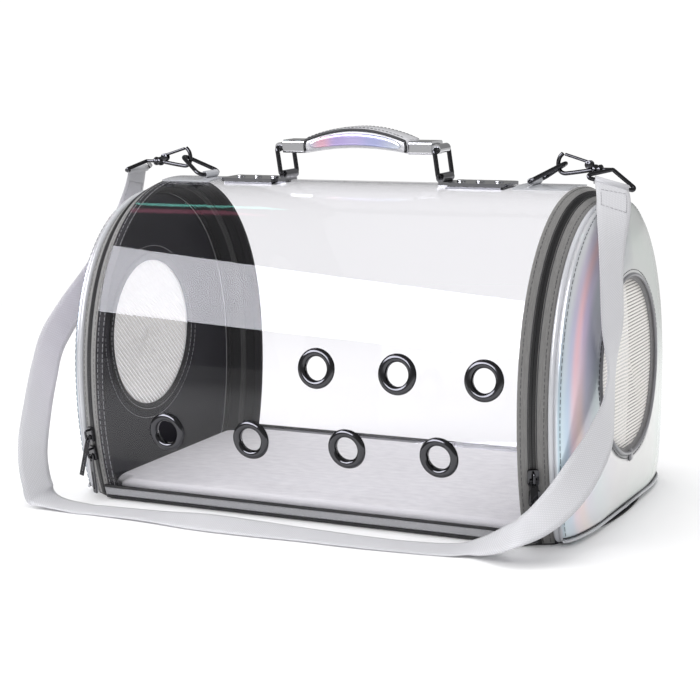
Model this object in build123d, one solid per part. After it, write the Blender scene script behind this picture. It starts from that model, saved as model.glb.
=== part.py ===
from build123d import *
import os
from math import atan2, cos, degrees, pi, radians, sin, sqrt

# A soft-sided pet carrier with a clear arched body, two domed zip-on doors and a carry handle.
# X runs along the tunnel, -Y is the front, Z is up. Millimetres, origin at the middle of the base.

# Fits
SEAM = 0.05                 # between layers that are sewn or riveted together
LAYER_GAP = 0.15            # between the curved layers of one door
CLEARANCE = 0.3             # between things that move past each other
PIN_FIT = 0.1               # radial play of a wire in its barrel
REACH = 400.0               # longer than anything that a cutting block has to pass

# Arch of the clear sheet, as seen from its end
SHELL_HALF = 170.0
SHEET = 0.8
ARCH_HALF_WIDTH = 124.4
ARCH_WIDEST_Z = 86.6
ARCH_RISE = 151.8
ARCH_POWER = 2.2
FOOT_TUCK = 14.3            # how far each foot of the sheet lies inside its widest line
FOOT_POWER = 2.08
CROWN_STEPS = 9
SIDE_STEPS = 5

# Base
COVER = 1.0
BOARD = 3.0
PAD = 9.0
PAD_SHRINK = 1.5
PAD_EDGE_RADIUS = 3.0
BASE_END_GAP = 0.9          # from the board's end to the end of the zip band
BASE_CORNER_LENGTH = 18.0
BASE_CORNER_WIDTH = 12.0

# Trim along the foot of the sheet
TRIM_OVER = 2.0             # past each end of the sheet
TRIM_HEIGHT = 6.8
TRIM = 1.5
CORD = 2.0

# Zip band: it leans inward from the sheet to the door
BAND_LENGTH = 18.4
BAND_DROP = 10.6
TAPE = 1.2
COIL_WIDTH = 1.65
COIL_PROUD = 0.6
TAPE_LAP = 0.4

# Spring-steel hoop and its fabric sleeve at each end of the sheet
HOOP_WIDTH = 6.0
HOOP = 0.8
SLEEVE_WIDTH = 9.0
SLEEVE = 2.6

# Door
PIPING_GAP = 0.1
PIPING = 4.5
PIPING_OUT = 1.6            # how far the piping stands proud of the band's edge
SHOULDER_STEP = 2.9         # from the rim to where the dome starts to curve in
SHOULDER_INSET = 8.0
DOME_RISE = 16.0
DOME_SPAN = 114.0           # half axis of the dome's round section, from side to side
DOME_STEPS = 6
CAP_ANGLE = 55.0            # where the dome goes flat around the window
SHOULDER_CORNER = 6.0       # lower corners of the dome, at its shoulder
CAP_CORNER = 34.0           # and at the flat cap
CAP_FLOOR_RISE = 12.0
RIM_CORNER = 5.0
RIM_SET_BACK = 0.6
HINGE_SHARE = 0.75          # how far round the dome its foot folds
SKIN = 1.0
FOAM = 2.0
LINING = 0.8
WINDOW_HALF_WIDTH = 58.0
WINDOW_HALF_HEIGHT = 61.0
WINDOW_Z = 111.0
BINDING_LAP = 5.0
BINDING_INSIDE = 3.0
BINDING = 1.1
MESH = 0.8
DOOR_OPEN = 85.0

# Vent eyelets on the front of the sheet, as x and z of each centre
UPPER_EYELETS_X = (17.9, 81.2, 146.2)
UPPER_EYELETS_Z = 116.9
LOWER_EYELETS_X = (-108.6, -36.9, 41.1, 112.3)
LOWER_EYELETS_Z = 60.4
EYELET_HOLE_R = 9.0
EYELET_TUBE = 1.0
EYELET_FLANGE_R = 14.7
EYELET_FLANGE = 2.0
EYELET_WASHER_R = 13.6
EYELET_WASHER = 1.2

# Handle: plates, ring links and an arched grip
PIVOT_X = 66.0
PLATE_TIP_X = 120.0
PLATE_HALF_WIDTH = 15.0
PLATE = 2.0
PLATE_CORNER = 5.0
PLATE_CHEEK = 8.0
BARREL_WALL = 1.75
BARREL_HALF = 9.5
LINK_WIRE_R = 1.75
LINK_HEIGHT = 21.5
LINK_HALF_WIDTH = 13.25
LINK_CORNER = 3.0
LINK_LEAN = 8.0
RIVETS_X = (79.0, 94.0, 109.0)
RIVET_R = 1.6
RIVET_HEAD_R = 3.4
RIVET_HEAD = 1.2
BACKING = 1.5
BACKING_HALF_WIDTH = 12.0
GRIP_HALF = 43.5
GRIP_END_LOW = -4.6         # grip heights are from the links' upper wire
GRIP_END_HIGH = 7.2
GRIP_MID_LOW = -0.6
GRIP_MID_HIGH = 16.3
GRIP_HALF_WIDTH = 13.0
GRIP_EDGE = 3.0
CORE_HALF_WIDTH = 7.0
CORE = 3.0
CAP_HALF_WIDTH = 10.5
CAP_LENGTH = 19.0
CAP_LOW = -4.4
CAP_HIGH = 5.6
CAP_EDGE = 2.0
INLAY = 0.7
INLAY_HALF = 37.0
INLAY_LOW = 1.8             # above the grip's lower edge
INLAY_HEIGHT = 6.4

# Strap rings in their tabs on the crown
TAB_INNER_X = 127.0
TAB_HALF_WIDTH = 20.0
TAB = 1.0
RING_X = 137.0
RING_WIRE_R = 1.6
RING_HALF_WIDTH = 16.5
RING_HEIGHT = 32.0
RING_CORNER = 4.0
RING_NOSE = 4.5
RING_LEAN = 29.0
TAB_LOOP_HALF = 9.0
TAB_LOOP_WALL = 1.1
TAB_RIVET_X = 157.0
TAB_RIVET_Y = 11.0

# Snap hook that holds the strap on each ring, drawn in the plane y = 0
HOOK_WIRE_R = 1.5
HOOK_BACK_X = 181.5
HOOK_BACK_Z = 250.6
HOOK_LOW_X = 158.5
HOOK_LOW_Z = 248.2
HOOK_NOSE_X = 156.0
HOOK_NOSE_Z = 253.5
HOOK_TIP_X = 158.2
HOOK_TIP_Z = 262.6
HOOK_BEND = 3.0
GATE_R = 1.1
GATE_PIVOT_X = 178.0
GATE_PIVOT_Z = 256.2
GATE_TIP_X = 160.3
GATE_TIP_Z = 261.6
GATE_PIN_R = 0.6
HOOK_BARREL_R = 3.6
HOOK_BARREL_LENGTH = 7.0
CHEEK_GAP = 0.3
CHEEK = 1.0

# Three-sided strap eye on a stud in the hook's barrel
STUD_R = 1.3
STUD_IN = 5.0
STUD_OUT = 7.5
EYE_WIRE_R = 1.5
EYE_HALF_WIDTH = 21.5
EYE_CORNER = 1.6
RIGHT_BAR_X = 197.0         # middle of the bar that carries the webbing
RIGHT_BAR_Y = -6.2
RIGHT_BAR_Z = 241.2
RIGHT_BAR_TURN = 26.0       # of the bar from X in plan
RIGHT_BAR_DIP = 17.0        # of the bar below level
LEFT_BAR_X = 205.5
LEFT_BAR_Z = 244.6

# Shoulder strap: webbing that hangs from both eyes and lies in front of the carrier
STRAP_HALF_WIDTH = 12.5
STRAP = 1.4

# The webbing's course from the left eye to the right one: a point, then the way its width lies
LEFT_FALL = (
    ((-212, -14, 225), (0.10, 0.95, -0.25)),
    ((-224, -33, 192), (0.20, 0.85, -0.45)),
    ((-232, -50, 162), (0.25, 0.75, -0.60)),
    ((-235, -68, 138), (0.30, 0.66, -0.68)),
    ((-241.6, -77.5, 114), (0.34, 0.60, -0.72)),
    ((-243, -89, 90), (0.43, 0.69, -0.58)),
    ((-242, -102, 62), (0.45, 0.75, -0.45)),
    ((-242, -110, 32.5), (0.50, 0.80, -0.30)),
    ((-234, -119, 10.5), (0.48, 0.86, -0.15)),
    ((-217, -130, 2.4), (0.50, 0.86, -0.05)),
)
FLOOR_RUN = (
    ((-172, -148, 1), (0.10, 0.99, 0)),
    ((-154, -147, 1), (0, 1, 0)),
    ((-108, -148.5, 2), (0, 1, 0.04)),
    ((-62, -153, 3.5), (-0.10, 0.97, 0.20)),
    ((-21, -152.5, 3), (0, 0.98, 0.16)),
    ((18, -150, 2), (0, 1, 0.08)),
    ((58, -149.5, 1.6), (0, 1, 0.04)),
    ((95, -147, 1.2), (0, 1, 0.02)),
    ((130, -143, 1.8), (-0.15, 0.98, 0.07)),
    ((149, -141, 6.6), (-0.30, 0.93, 0.22)),
)
RIGHT_RISE = (
    ((177, -152, 19), (-0.45, 0.45, 0.77)),
    ((192.5, -144, 28), (-0.50, 0.10, 0.85)),
    ((204, -128, 41), (-0.55, -0.20, 0.80)),
    ((212, -110, 57), (-0.60, -0.45, 0.66)),
    ((218, -92, 75), (-0.40, -0.85, 0.30)),
    ((219, -77, 94), (-0.05, -0.98, 0.20)),
    ((218, -67, 119), (0.10, -0.99, 0)),
    ((218, -66, 152), (-0.30, -0.95, 0.05)),
    ((215.5, -61, 186), (-0.35, -0.92, 0.15)),
    ((211, -47, 211), (-0.50, -0.83, 0.20)),
    ((204, -22, 231), (-0.85, -0.45, 0.25)),
)

# Zip sliders, two parked one above the other at the front foot of each zip
SLIDER_HEIGHTS = (37.0, 52.0)
SLIDER_LENGTH = 11.0
SLIDER_HALF_WIDTH = 4.0
SLIDER_BODY = 2.6
SLIDER_OFF = 0.4
SLIDER_CORNER = 1.5
LOOP_R = 0.9
LOOP_OUT = 3.2
LOOP_HALF = 3.4
LOOP_CORNER = 1.4
PULL_TILTS = (6.0, 21.0)    # at rest, out from the band
PULL_DROP = 1.5             # of the pull's pivot below the middle of the loop
PULL_LENGTH = 30.0
PULL_HALF_WIDTH = 2.6
PULL = 1.2
BAIL_R = 0.7
BAIL_HALF_GAP = 1.4
BAIL_LENGTH = 4.6
PULL_SLOT_HALF_WIDTH = 1.2
PULL_SLOT = 14.0
PULL_SLOT_END = 3.0

# Places that follow from the sizes above
CROWN_Z = ARCH_WIDEST_Z + ARCH_RISE
FOOT_HALF_WIDTH = ARCH_HALF_WIDTH - FOOT_TUCK
FOOT_Z = COVER + SEAM
DOOR_FOOT_Z = COVER + CLEARANCE
SPLIT_X = SHELL_HALF + BAND_LENGTH / 2
BAND_END_X = SHELL_HALF + BAND_LENGTH
BASE_HALF = BAND_END_X - BASE_END_GAP
TRIM_HALF = SHELL_HALF + TRIM_OVER
PIPING_X = BAND_END_X + PIPING_GAP
RIM_X = PIPING_X + PIPING + PIPING_GAP
RIM_INSET = BAND_DROP - PIPING_OUT + RIM_SET_BACK
SHOULDER_X = RIM_X + SHOULDER_STEP
DOOR_HINGE_X = SHOULDER_X + DOME_RISE * sin(radians(CAP_ANGLE * HINGE_SHARE)) + 1.6
DOOR_HINGE_Z = DOOR_FOOT_Z + 1.2
LINK_PIVOT_Z = CROWN_Z + PLATE + LINK_WIRE_R + BARREL_WALL - 0.6
RING_Z = CROWN_Z + TAB + RING_WIRE_R + PIN_FIT + TAB_LOOP_WALL - 0.2
BASE_SIDE_GAP = SHEET + SLEEVE + 2 * SEAM + CLEARANCE
BAND_LEAN = degrees(atan2(BAND_DROP, BAND_LENGTH))
STUD_Z = HOOK_BACK_Z + 0.6
STUD_X = HOOK_BACK_X + HOOK_BARREL_LENGTH
RIGHT_BAR = Vector(RIGHT_BAR_X, RIGHT_BAR_Y, RIGHT_BAR_Z)
RIGHT_BAR_WAY = Vector(
    cos(radians(RIGHT_BAR_DIP)) * cos(radians(RIGHT_BAR_TURN)),
    cos(radians(RIGHT_BAR_DIP)) * sin(radians(RIGHT_BAR_TURN)),
    -sin(radians(RIGHT_BAR_DIP)),
)
LEFT_BAR = Vector(LEFT_BAR_X, 0, LEFT_BAR_Z)
LEFT_BAR_WAY = Vector(0, 1, 0)


def half_width(z, inset=0.0):
    """Half width of the arch at one height, drawn in by an inset."""
    width = ARCH_HALF_WIDTH - inset
    if z >= ARCH_WIDEST_Z:
        share = min(1.0, (z - ARCH_WIDEST_Z) / (ARCH_RISE - inset))
        return width * (1 - share ** ARCH_POWER) ** (1 / ARCH_POWER)
    drop = (ARCH_WIDEST_Z - z) / ARCH_WIDEST_Z
    return width - (ARCH_HALF_WIDTH - FOOT_HALF_WIDTH) * drop ** FOOT_POWER


def foot_slope(z):
    """How fast the half width grows with height below the widest line."""
    drop = (ARCH_WIDEST_Z - z) / ARCH_WIDEST_Z
    spread = ARCH_HALF_WIDTH - FOOT_HALF_WIDTH
    return spread * FOOT_POWER * drop ** (FOOT_POWER - 1) / ARCH_WIDEST_Z


def crown_points(inset):
    """Points (y, z) from the widest line at the back up to the crown."""
    points = []
    for step in range(1, CROWN_STEPS + 1):
        angle = pi / 2 * step / CROWN_STEPS
        y = (ARCH_HALF_WIDTH - inset) * max(0.0, cos(angle)) ** (2 / ARCH_POWER)
        z = ARCH_WIDEST_Z + (ARCH_RISE - inset) * sin(angle) ** (2 / ARCH_POWER)
        points.append((y, z))
    return points


def side_points(inset, foot_z):
    """Points (y, z) from the foot up to the widest line at the back."""
    heights = [foot_z + (ARCH_WIDEST_Z - foot_z) * i / SIDE_STEPS for i in range(SIDE_STEPS + 1)]
    return [(half_width(z, inset), z) for z in heights]


def arch_line(x, inset, foot_z):
    """The arch from its back foot over the crown to its front foot."""
    back = side_points(inset, foot_z) + crown_points(inset)
    front = [(-y, z) for y, z in reversed(back[:-1])]
    return Spline(*[Vector(x, y, z) for y, z in back + front])


def arch_face(x, outer, inner, foot_z=FOOT_Z):
    """Cross section of a layer that follows the arch between two insets."""
    out = arch_line(x, outer, foot_z)
    into = arch_line(x, inner, foot_z)
    foot_back = Line(out @ 0, into @ 0)
    foot_front = Line(out @ 1, into @ 1)
    return Face(Wire([out, foot_front, into, foot_back]))


def arch_layer(x0, x1, outer, inner, foot_z=FOOT_Z):
    """A layer of even section along the tunnel."""
    return extrude(arch_face(x0, outer, inner, foot_z), amount=x1 - x0, dir=(1, 0, 0))


def under_arch(inset):
    """Everything below the arch at an inset, along the whole tunnel."""
    line = arch_line(-REACH, inset, FOOT_Z)
    face = Face(Wire([line, Line(line @ 1, line @ 0)]))
    return extrude(face, amount=2 * REACH, dir=(1, 0, 0))


def block(x0, x1, y0, y1, z0, z1):
    """A box between two corners."""
    size = Box(x1 - x0, y1 - y0, z1 - z0)
    return Pos((x0 + x1) / 2, (y0 + y1) / 2, (z0 + z1) / 2) * size


def rod(start, end, radius):
    """A round rod between two points."""
    start = Vector(*start)
    along = Vector(*end) - start
    plane = Plane(origin=start, z_dir=along)
    return extrude(plane * Circle(radius), amount=along.length)


def bent_rod(points, radius, corner, close=False):
    """A round wire bent through points, with one corner radius or a list of them."""
    path = FilletPolyline(*points, radius=corner, close=close)
    section = Plane(origin=path @ 0, z_dir=path % 0) * Circle(radius)
    return sweep(section, path=path)


def other_end(shape):
    """The same piece at the other end of the tunnel."""
    return mirror(shape, about=Plane.YZ)


def both_ends(shape):
    return [shape, other_end(shape)]


def base_outline(half, width, corner_length, corner_width):
    """Plan of the base: a long rectangle with its corners cut off."""
    return Polyline(
        (half, width - corner_width),
        (half - corner_length, width),
        (corner_length - half, width),
        (-half, width - corner_width),
        (-half, corner_width - width),
        (corner_length - half, -width),
        (half - corner_length, -width),
        (half, corner_width - width),
        close=True,
    )


def base_board():
    width = FOOT_HALF_WIDTH - BASE_SIDE_GAP
    outline = base_outline(BASE_HALF, width, BASE_CORNER_LENGTH, BASE_CORNER_WIDTH)
    return Pos(0, 0, COVER + SEAM) * extrude(make_face(outline), amount=BOARD)


def floor_pad():
    width = FOOT_HALF_WIDTH - BASE_SIDE_GAP - PAD_SHRINK
    half = BASE_HALF - PAD_SHRINK
    outline = base_outline(half, width, BASE_CORNER_LENGTH, BASE_CORNER_WIDTH)
    pad = Pos(0, 0, COVER + BOARD + 2 * SEAM) * extrude(make_face(outline), amount=PAD)
    return fillet(pad.faces().sort_by(Axis.Z)[-1].edges(), PAD_EDGE_RADIUS)


def base_cover():
    """Fabric underside. Each end bows out to the hinge line of its door."""
    corner_x = PIPING_X
    corner_y = half_width(FOOT_Z, BAND_DROP) - 1.0
    edge_y = FOOT_HALF_WIDTH
    end_x = DOOR_HINGE_X - CLEARANCE
    outline = [
        Line((SHELL_HALF, -edge_y), (corner_x, -corner_y)),
        ThreePointArc((corner_x, -corner_y), (end_x, 0), (corner_x, corner_y)),
        Line((corner_x, corner_y), (SHELL_HALF, edge_y)),
        Line((SHELL_HALF, edge_y), (-SHELL_HALF, edge_y)),
        Line((-SHELL_HALF, edge_y), (-corner_x, corner_y)),
        ThreePointArc((-corner_x, corner_y), (-end_x, 0), (-corner_x, -corner_y)),
        Line((-corner_x, -corner_y), (-SHELL_HALF, -edge_y)),
        Line((-SHELL_HALF, -edge_y), (SHELL_HALF, -edge_y)),
    ]
    return extrude(Face(Wire(outline)), amount=COVER)


def foot_strip(z0, z1, out, thickness, half):
    """A strip along the front foot of the sheet, lying against its outer face."""
    heights = [z0 + (z1 - z0) * i / 3 for i in range(4)]
    near = [Vector(-half, -half_width(z) - out, z) for z in heights]
    far = [Vector(-half, -half_width(z) - out - thickness, z) for z in heights]
    edges = [Spline(*near), Line(near[-1], far[-1]), Spline(*far), Line(far[0], near[0])]
    return extrude(Face(Wire(edges)), amount=2 * half, dir=(1, 0, 0))


def foot_trim():
    z0 = FOOT_Z + CORD + SEAM
    return foot_strip(z0, z0 + TRIM_HEIGHT, SEAM, TRIM, TRIM_HALF)


def foot_cords():
    """The piping below and above the trim."""
    low = foot_strip(FOOT_Z, FOOT_Z + CORD, SEAM, CORD, TRIM_HALF)
    z0 = FOOT_Z + CORD + TRIM_HEIGHT + 2 * SEAM
    high = foot_strip(z0, z0 + CORD, SEAM, CORD, TRIM_HALF)
    return [low, high]


def eyelet_planes():
    """One plane on the sheet's outer face for each eyelet, facing out."""
    places = [(x, UPPER_EYELETS_Z) for x in UPPER_EYELETS_X]
    places += [(x, LOWER_EYELETS_Z) for x in LOWER_EYELETS_X]
    step = 0.5
    planes = []
    for x, z in places:
        slope = (half_width(z + step) - half_width(z - step)) / (2 * step)
        normal = Vector(0, -1, -slope)
        planes.append(Plane(origin=(x, -half_width(z), z), x_dir=(1, 0, 0), z_dir=normal))
    return planes


def eyelets():
    """Rolled rings outside, with the tube that passes through the sheet."""
    inside = under_arch(-SEAM)
    rings = []
    for plane in eyelet_planes():
        disc = Circle(EYELET_FLANGE_R) - Circle(EYELET_HOLE_R)
        flange = extrude(plane.offset(-2) * disc, amount=EYELET_FLANGE + 2) - inside
        tube_disc = Circle(EYELET_HOLE_R + EYELET_TUBE) - Circle(EYELET_HOLE_R)
        tube_depth = SHEET + EYELET_WASHER + 1.0
        tube = extrude(plane.offset(-tube_depth) * tube_disc, amount=tube_depth + 0.6)
        rings.append(flange + tube)
    return rings


def eyelet_washers():
    """Flat rings that clamp the sheet from inside."""
    layer = under_arch(SHEET + SEAM) - under_arch(SHEET + SEAM + EYELET_WASHER)
    rings = []
    for plane in eyelet_planes():
        disc = Circle(EYELET_WASHER_R) - Circle(EYELET_HOLE_R + EYELET_TUBE + SEAM)
        rings.append(extrude(plane.offset(-6) * disc, amount=6) & layer)
    return rings


def clear_shell():
    shell = arch_layer(-SHELL_HALF, SHELL_HALF, 0, SHEET)
    for plane in eyelet_planes():
        hole = Circle(EYELET_HOLE_R + EYELET_TUBE + SEAM)
        shell -= extrude(plane.offset(-8) * hole, amount=16)
    for x, y in rivet_places():
        shell -= Pos(x, y, CROWN_Z) * Cylinder(RIVET_R + SEAM, 12)
    return shell


def band_inset(x):
    return BAND_DROP * (x - SHELL_HALF) / BAND_LENGTH


def band_part(x0, x1, proud, depth, foot_z):
    """A strip of the slanting zip band at the +X end."""
    faces = []
    for x in (x0, x1):
        faces.append(arch_face(x, band_inset(x) - proud, band_inset(x) - proud + depth, foot_z))
    return loft(faces, ruled=True)


def body_tape():
    return band_part(SHELL_HALF + SEAM, SPLIT_X - LAYER_GAP - COIL_WIDTH - SEAM, 0, TAPE, FOOT_Z)


def body_coil():
    x1 = SPLIT_X - LAYER_GAP
    return band_part(x1 - COIL_WIDTH, x1, COIL_PROUD, TAPE + 2 * COIL_PROUD, FOOT_Z)


def door_coil():
    x0 = SPLIT_X + LAYER_GAP
    return band_part(x0, x0 + COIL_WIDTH, COIL_PROUD, TAPE + 2 * COIL_PROUD, DOOR_FOOT_Z)


def door_tape():
    return band_part(SPLIT_X + LAYER_GAP + COIL_WIDTH + SEAM, BAND_END_X, 0, TAPE, DOOR_FOOT_Z)


def hoop_wire():
    x1 = SHELL_HALF - (SLEEVE_WIDTH - HOOP_WIDTH) / 2
    top = SHEET + SEAM + (SLEEVE - HOOP) / 2
    return arch_layer(x1 - HOOP_WIDTH, x1, top, top + HOOP, FOOT_Z + 1)


def hoop_sleeve():
    top = SHEET + SEAM
    sleeve = arch_layer(SHELL_HALF - SLEEVE_WIDTH, SHELL_HALF, top, top + SLEEVE)
    x1 = SHELL_HALF - (SLEEVE_WIDTH - HOOP_WIDTH) / 2 + SEAM
    depth = top + (SLEEVE - HOOP) / 2
    pocket = arch_layer(x1 - HOOP_WIDTH - 2 * SEAM, x1, depth - SEAM, depth + HOOP + SEAM, FOOT_Z)
    return sleeve - pocket


def door_outline(x, inset, foot_z, corner):
    """Closed outline of a door at one x: the arch, rounded corners and a flat foot."""
    side_z = foot_z + corner
    heights = [ARCH_WIDEST_Z + (side_z - ARCH_WIDEST_Z) * i / 3 for i in range(4)]
    side = [(half_width(z, inset), z) for z in heights]
    crown = [(ARCH_HALF_WIDTH - inset, ARCH_WIDEST_Z)] + crown_points(inset)
    crown += [(-y, z) for y, z in reversed(crown[:-1])]
    corner_y = half_width(side_z, inset) - foot_slope(side_z) * corner
    foot_y = corner_y - corner
    slope = Vector(0, foot_slope(side_z), 1)
    up = Vector(0, 0, 1)
    back = [Vector(x, y, z) for y, z in side]
    front = [Vector(x, -y, z) for y, z in reversed(side)]
    edges = [
        Spline(*[Vector(x, y, z) for y, z in crown], tangents=(up, up * -1)),
        Spline(*reversed(front), tangents=(up * -1, Vector(0, foot_slope(side_z), -1))),
        Bezier(front[0], Vector(x, -corner_y, foot_z), Vector(x, -foot_y, foot_z)),
        Line(Vector(x, -foot_y, foot_z), Vector(x, foot_y, foot_z)),
        Bezier(Vector(x, foot_y, foot_z), Vector(x, corner_y, foot_z), back[-1]),
        Spline(*reversed(back), tangents=(slope, up)),
    ]
    return Face(Wire(edges))


def dome_place(share, depth):
    """X and inset of the dome's wall, part of the way round from shoulder to cap."""
    turn = radians(CAP_ANGLE * share)
    out_x = sin(turn) / DOME_RISE
    out_side = cos(turn) / DOME_SPAN
    length = sqrt(out_x ** 2 + out_side ** 2)
    x = SHOULDER_X + DOME_RISE * sin(turn) - depth * out_x / length
    inset = SHOULDER_INSET + DOME_SPAN * (1 - cos(turn)) + depth * out_side / length
    return x, inset


def cap_x(depth):
    """X of the flat part of the dome around the window."""
    return dome_place(1, depth)[0]


def dome(depth):
    """The door's dome, drawn in by a depth measured from its outer face."""
    sections = [door_outline(RIM_X, RIM_INSET + depth, DOOR_FOOT_Z + depth, RIM_CORNER)]
    for step in range(DOME_STEPS + 1):
        share = step / DOME_STEPS
        x, inset = dome_place(share, depth)
        corner = SHOULDER_CORNER + (CAP_CORNER - SHOULDER_CORNER) * share
        foot_z = DOOR_FOOT_Z + depth + CAP_FLOOR_RISE * share ** 3
        sections.append(door_outline(x, inset, foot_z, corner))
    return loft(sections, ruled=True)


def window(grow, x0, x1):
    """A prism through the window, wider than the opening by grow."""
    outline = Ellipse(WINDOW_HALF_WIDTH + grow, WINDOW_HALF_HEIGHT + grow)
    return extrude(Plane.YZ.offset(x0) * Pos(0, WINDOW_Z) * outline, amount=x1 - x0)


def door_layer(depth, thickness):
    layer = dome(depth) - dome(depth + thickness)
    return layer - window(0, cap_x(depth + thickness) - 5, cap_x(depth) + 5)


def lining_depth():
    return SKIN + FOAM + 2 * LAYER_GAP


def mesh_binding():
    """Edging that folds over the rim of the window on both faces."""
    wall_out = cap_x(0) + SEAM
    wall_in = cap_x(lining_depth() + LINING) - SEAM
    ring = window(BINDING_LAP, wall_in - BINDING, wall_out + BINDING)
    ring -= window(-BINDING_INSIDE, wall_in - BINDING - 1, wall_out + BINDING + 1)
    wall = window(BINDING_LAP + 1, wall_in, wall_out) - window(-SEAM, wall_in - 1, wall_out + 1)
    return ring - wall


def window_mesh():
    middle = (cap_x(0) + cap_x(lining_depth() + LINING)) / 2
    return window(-BINDING_INSIDE - SEAM, middle - MESH / 2, middle + MESH / 2)


def door_piping():
    """Cord around the whole edge of the door."""
    outer_inset = BAND_DROP - PIPING_OUT
    outer = door_outline(PIPING_X, outer_inset, DOOR_FOOT_Z, RIM_CORNER)
    inner = door_outline(PIPING_X, outer_inset + PIPING, DOOR_FOOT_Z + PIPING, RIM_CORNER)
    return extrude(outer, amount=PIPING, dir=(1, 0, 0)) - extrude(inner, amount=PIPING, dir=(1, 0, 0))


def slider_place(height):
    """Centre of a slider's back on the zip coil, at a height on the front side."""
    return Vector(SPLIT_X, -half_width(height, band_inset(SPLIT_X)) - COIL_PROUD, height)


def track_slope(height):
    """Lean of the front of the zip band from upright, in degrees."""
    return degrees(atan2(foot_slope(height), 1))


def slider_frame(height):
    """Local frame on the zip: Z runs up the track, -Y stands out of the band."""
    return Pos(slider_place(height)) * Rot(0, 0, BAND_LEAN) * Rot(track_slope(height), 0, 0)


def zip_slider(height):
    """Slider body with the loop that carries its pull."""
    face = -SLIDER_OFF - SLIDER_BODY
    body = block(
        -SLIDER_HALF_WIDTH, SLIDER_HALF_WIDTH,
        face, -SLIDER_OFF,
        -SLIDER_LENGTH / 2, SLIDER_LENGTH / 2,
    )
    body = fillet(body.edges().filter_by(Axis.Y), SLIDER_CORNER)
    root_y = face + 0.6
    tip_y = face - LOOP_OUT
    loop = bent_rod(
        [(0, root_y, LOOP_HALF), (0, tip_y, LOOP_HALF), (0, tip_y, -LOOP_HALF), (0, root_y, -LOOP_HALF)],
        LOOP_R, LOOP_CORNER,
    )
    return slider_frame(height) * (body + loop)


def pull_frame(height, tilt):
    """Frame at the bail's round bar; the pull hangs down its -Z."""
    gap = LOOP_OUT - LOOP_R
    pivot = Pos(0, -SLIDER_OFF - SLIDER_BODY - gap / 2, -PULL_DROP)
    return slider_frame(height) * pivot * Rot(-tilt, 0, 0)


def zip_pull(height, tilt):
    """Pull with a bail that swings in the slider's loop."""
    bar = rod((-PULL_HALF_WIDTH, 0, 0), (PULL_HALF_WIDTH, 0, 0), BAIL_R)
    side = block(BAIL_HALF_GAP, PULL_HALF_WIDTH, -PULL / 2, PULL / 2, -BAIL_LENGTH - 1, 0)
    plate = block(-PULL_HALF_WIDTH, PULL_HALF_WIDTH, -PULL / 2, PULL / 2, -PULL_LENGTH, -BAIL_LENGTH)
    slot = block(
        -PULL_SLOT_HALF_WIDTH, PULL_SLOT_HALF_WIDTH, -PULL, PULL,
        PULL_SLOT_END - PULL_LENGTH, PULL_SLOT_END + PULL_SLOT - PULL_LENGTH,
    )
    pull = bar + side + mirror(side, about=Plane.YZ) + plate - slot
    return pull_frame(height, tilt) * pull


def rivet_places():
    """Plan places of the rivets that hold both handle plates."""
    places = [(x, 0) for x in RIVETS_X]
    return places + [(-x, y) for x, y in places]


def handle_plate():
    top = CROWN_Z + PLATE
    plan = block(
        PIVOT_X - LINK_WIRE_R, PLATE_TIP_X,
        -PLATE_HALF_WIDTH, PLATE_HALF_WIDTH,
        CROWN_Z - PLATE, top,
    )
    tip = plan.edges().filter_by(Axis.Z).group_by(Axis.X)[-1]
    plan = fillet(tip, PLATE_CORNER)
    narrow = block(
        PIVOT_X - 9, PIVOT_X + PLATE_CHEEK,
        BARREL_HALF, PLATE_HALF_WIDTH + 1,
        CROWN_Z - PLATE - 1, top + 1,
    )
    plan = plan - narrow - mirror(narrow, about=Plane.XZ)
    barrel_r = LINK_WIRE_R + BARREL_WALL
    barrel = rod((PIVOT_X, -BARREL_HALF, LINK_PIVOT_Z), (PIVOT_X, BARREL_HALF, LINK_PIVOT_Z), barrel_r)
    plate = plan + barrel
    bore_r = LINK_WIRE_R + PIN_FIT
    plate -= rod((PIVOT_X, -REACH, LINK_PIVOT_Z), (PIVOT_X, REACH, LINK_PIVOT_Z), bore_r)
    plate -= under_arch(-SEAM)
    for x in RIVETS_X:
        plate -= Pos(x, 0, CROWN_Z) * Cylinder(RIVET_R + SEAM, 12)
    return plate.solids().sort_by(SortBy.VOLUME)[-1]


def backing_plate():
    slab = block(
        RIVETS_X[0] - 8, RIVETS_X[-1] + 8,
        -BACKING_HALF_WIDTH, BACKING_HALF_WIDTH,
        CROWN_Z - 8, CROWN_Z,
    )
    layer = under_arch(SHEET + SEAM) - under_arch(SHEET + SEAM + BACKING)
    plate = slab & layer
    for x in RIVETS_X:
        plate -= Pos(x, 0, CROWN_Z) * Cylinder(RIVET_R + SEAM, 12)
    return plate


def handle_rivets():
    top = CROWN_Z + PLATE + SEAM
    foot = CROWN_Z - SHEET - BACKING - 3 * SEAM
    rivets = []
    for x, y in rivet_places():
        shank = rod((x, y, foot - RIVET_HEAD), (x, y, top + RIVET_HEAD), RIVET_R)
        head = rod((x, y, top), (x, y, top + RIVET_HEAD), RIVET_HEAD_R)
        head = fillet(head.faces().sort_by(Axis.Z)[-1].edges(), 0.8)
        tail = rod((x, y, foot - RIVET_HEAD), (x, y, foot), RIVET_R + 1.2)
        rivets.append(shank + head + tail)
    return rivets


def link_top(side):
    """Centre of a link's upper wire, for the side +1 or -1."""
    lean = radians(LINK_LEAN)
    return Vector(side * PIVOT_X - LINK_HEIGHT * sin(lean), 0, LINK_PIVOT_Z + LINK_HEIGHT * cos(lean))


def ring_link(side):
    foot = Vector(side * PIVOT_X, 0, LINK_PIVOT_Z)
    top = link_top(side)
    across = Vector(0, LINK_HALF_WIDTH, 0)
    points = [foot - across, foot + across, top + across, top - across]
    return bent_rod(points, LINK_WIRE_R, LINK_CORNER, close=True)


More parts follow.
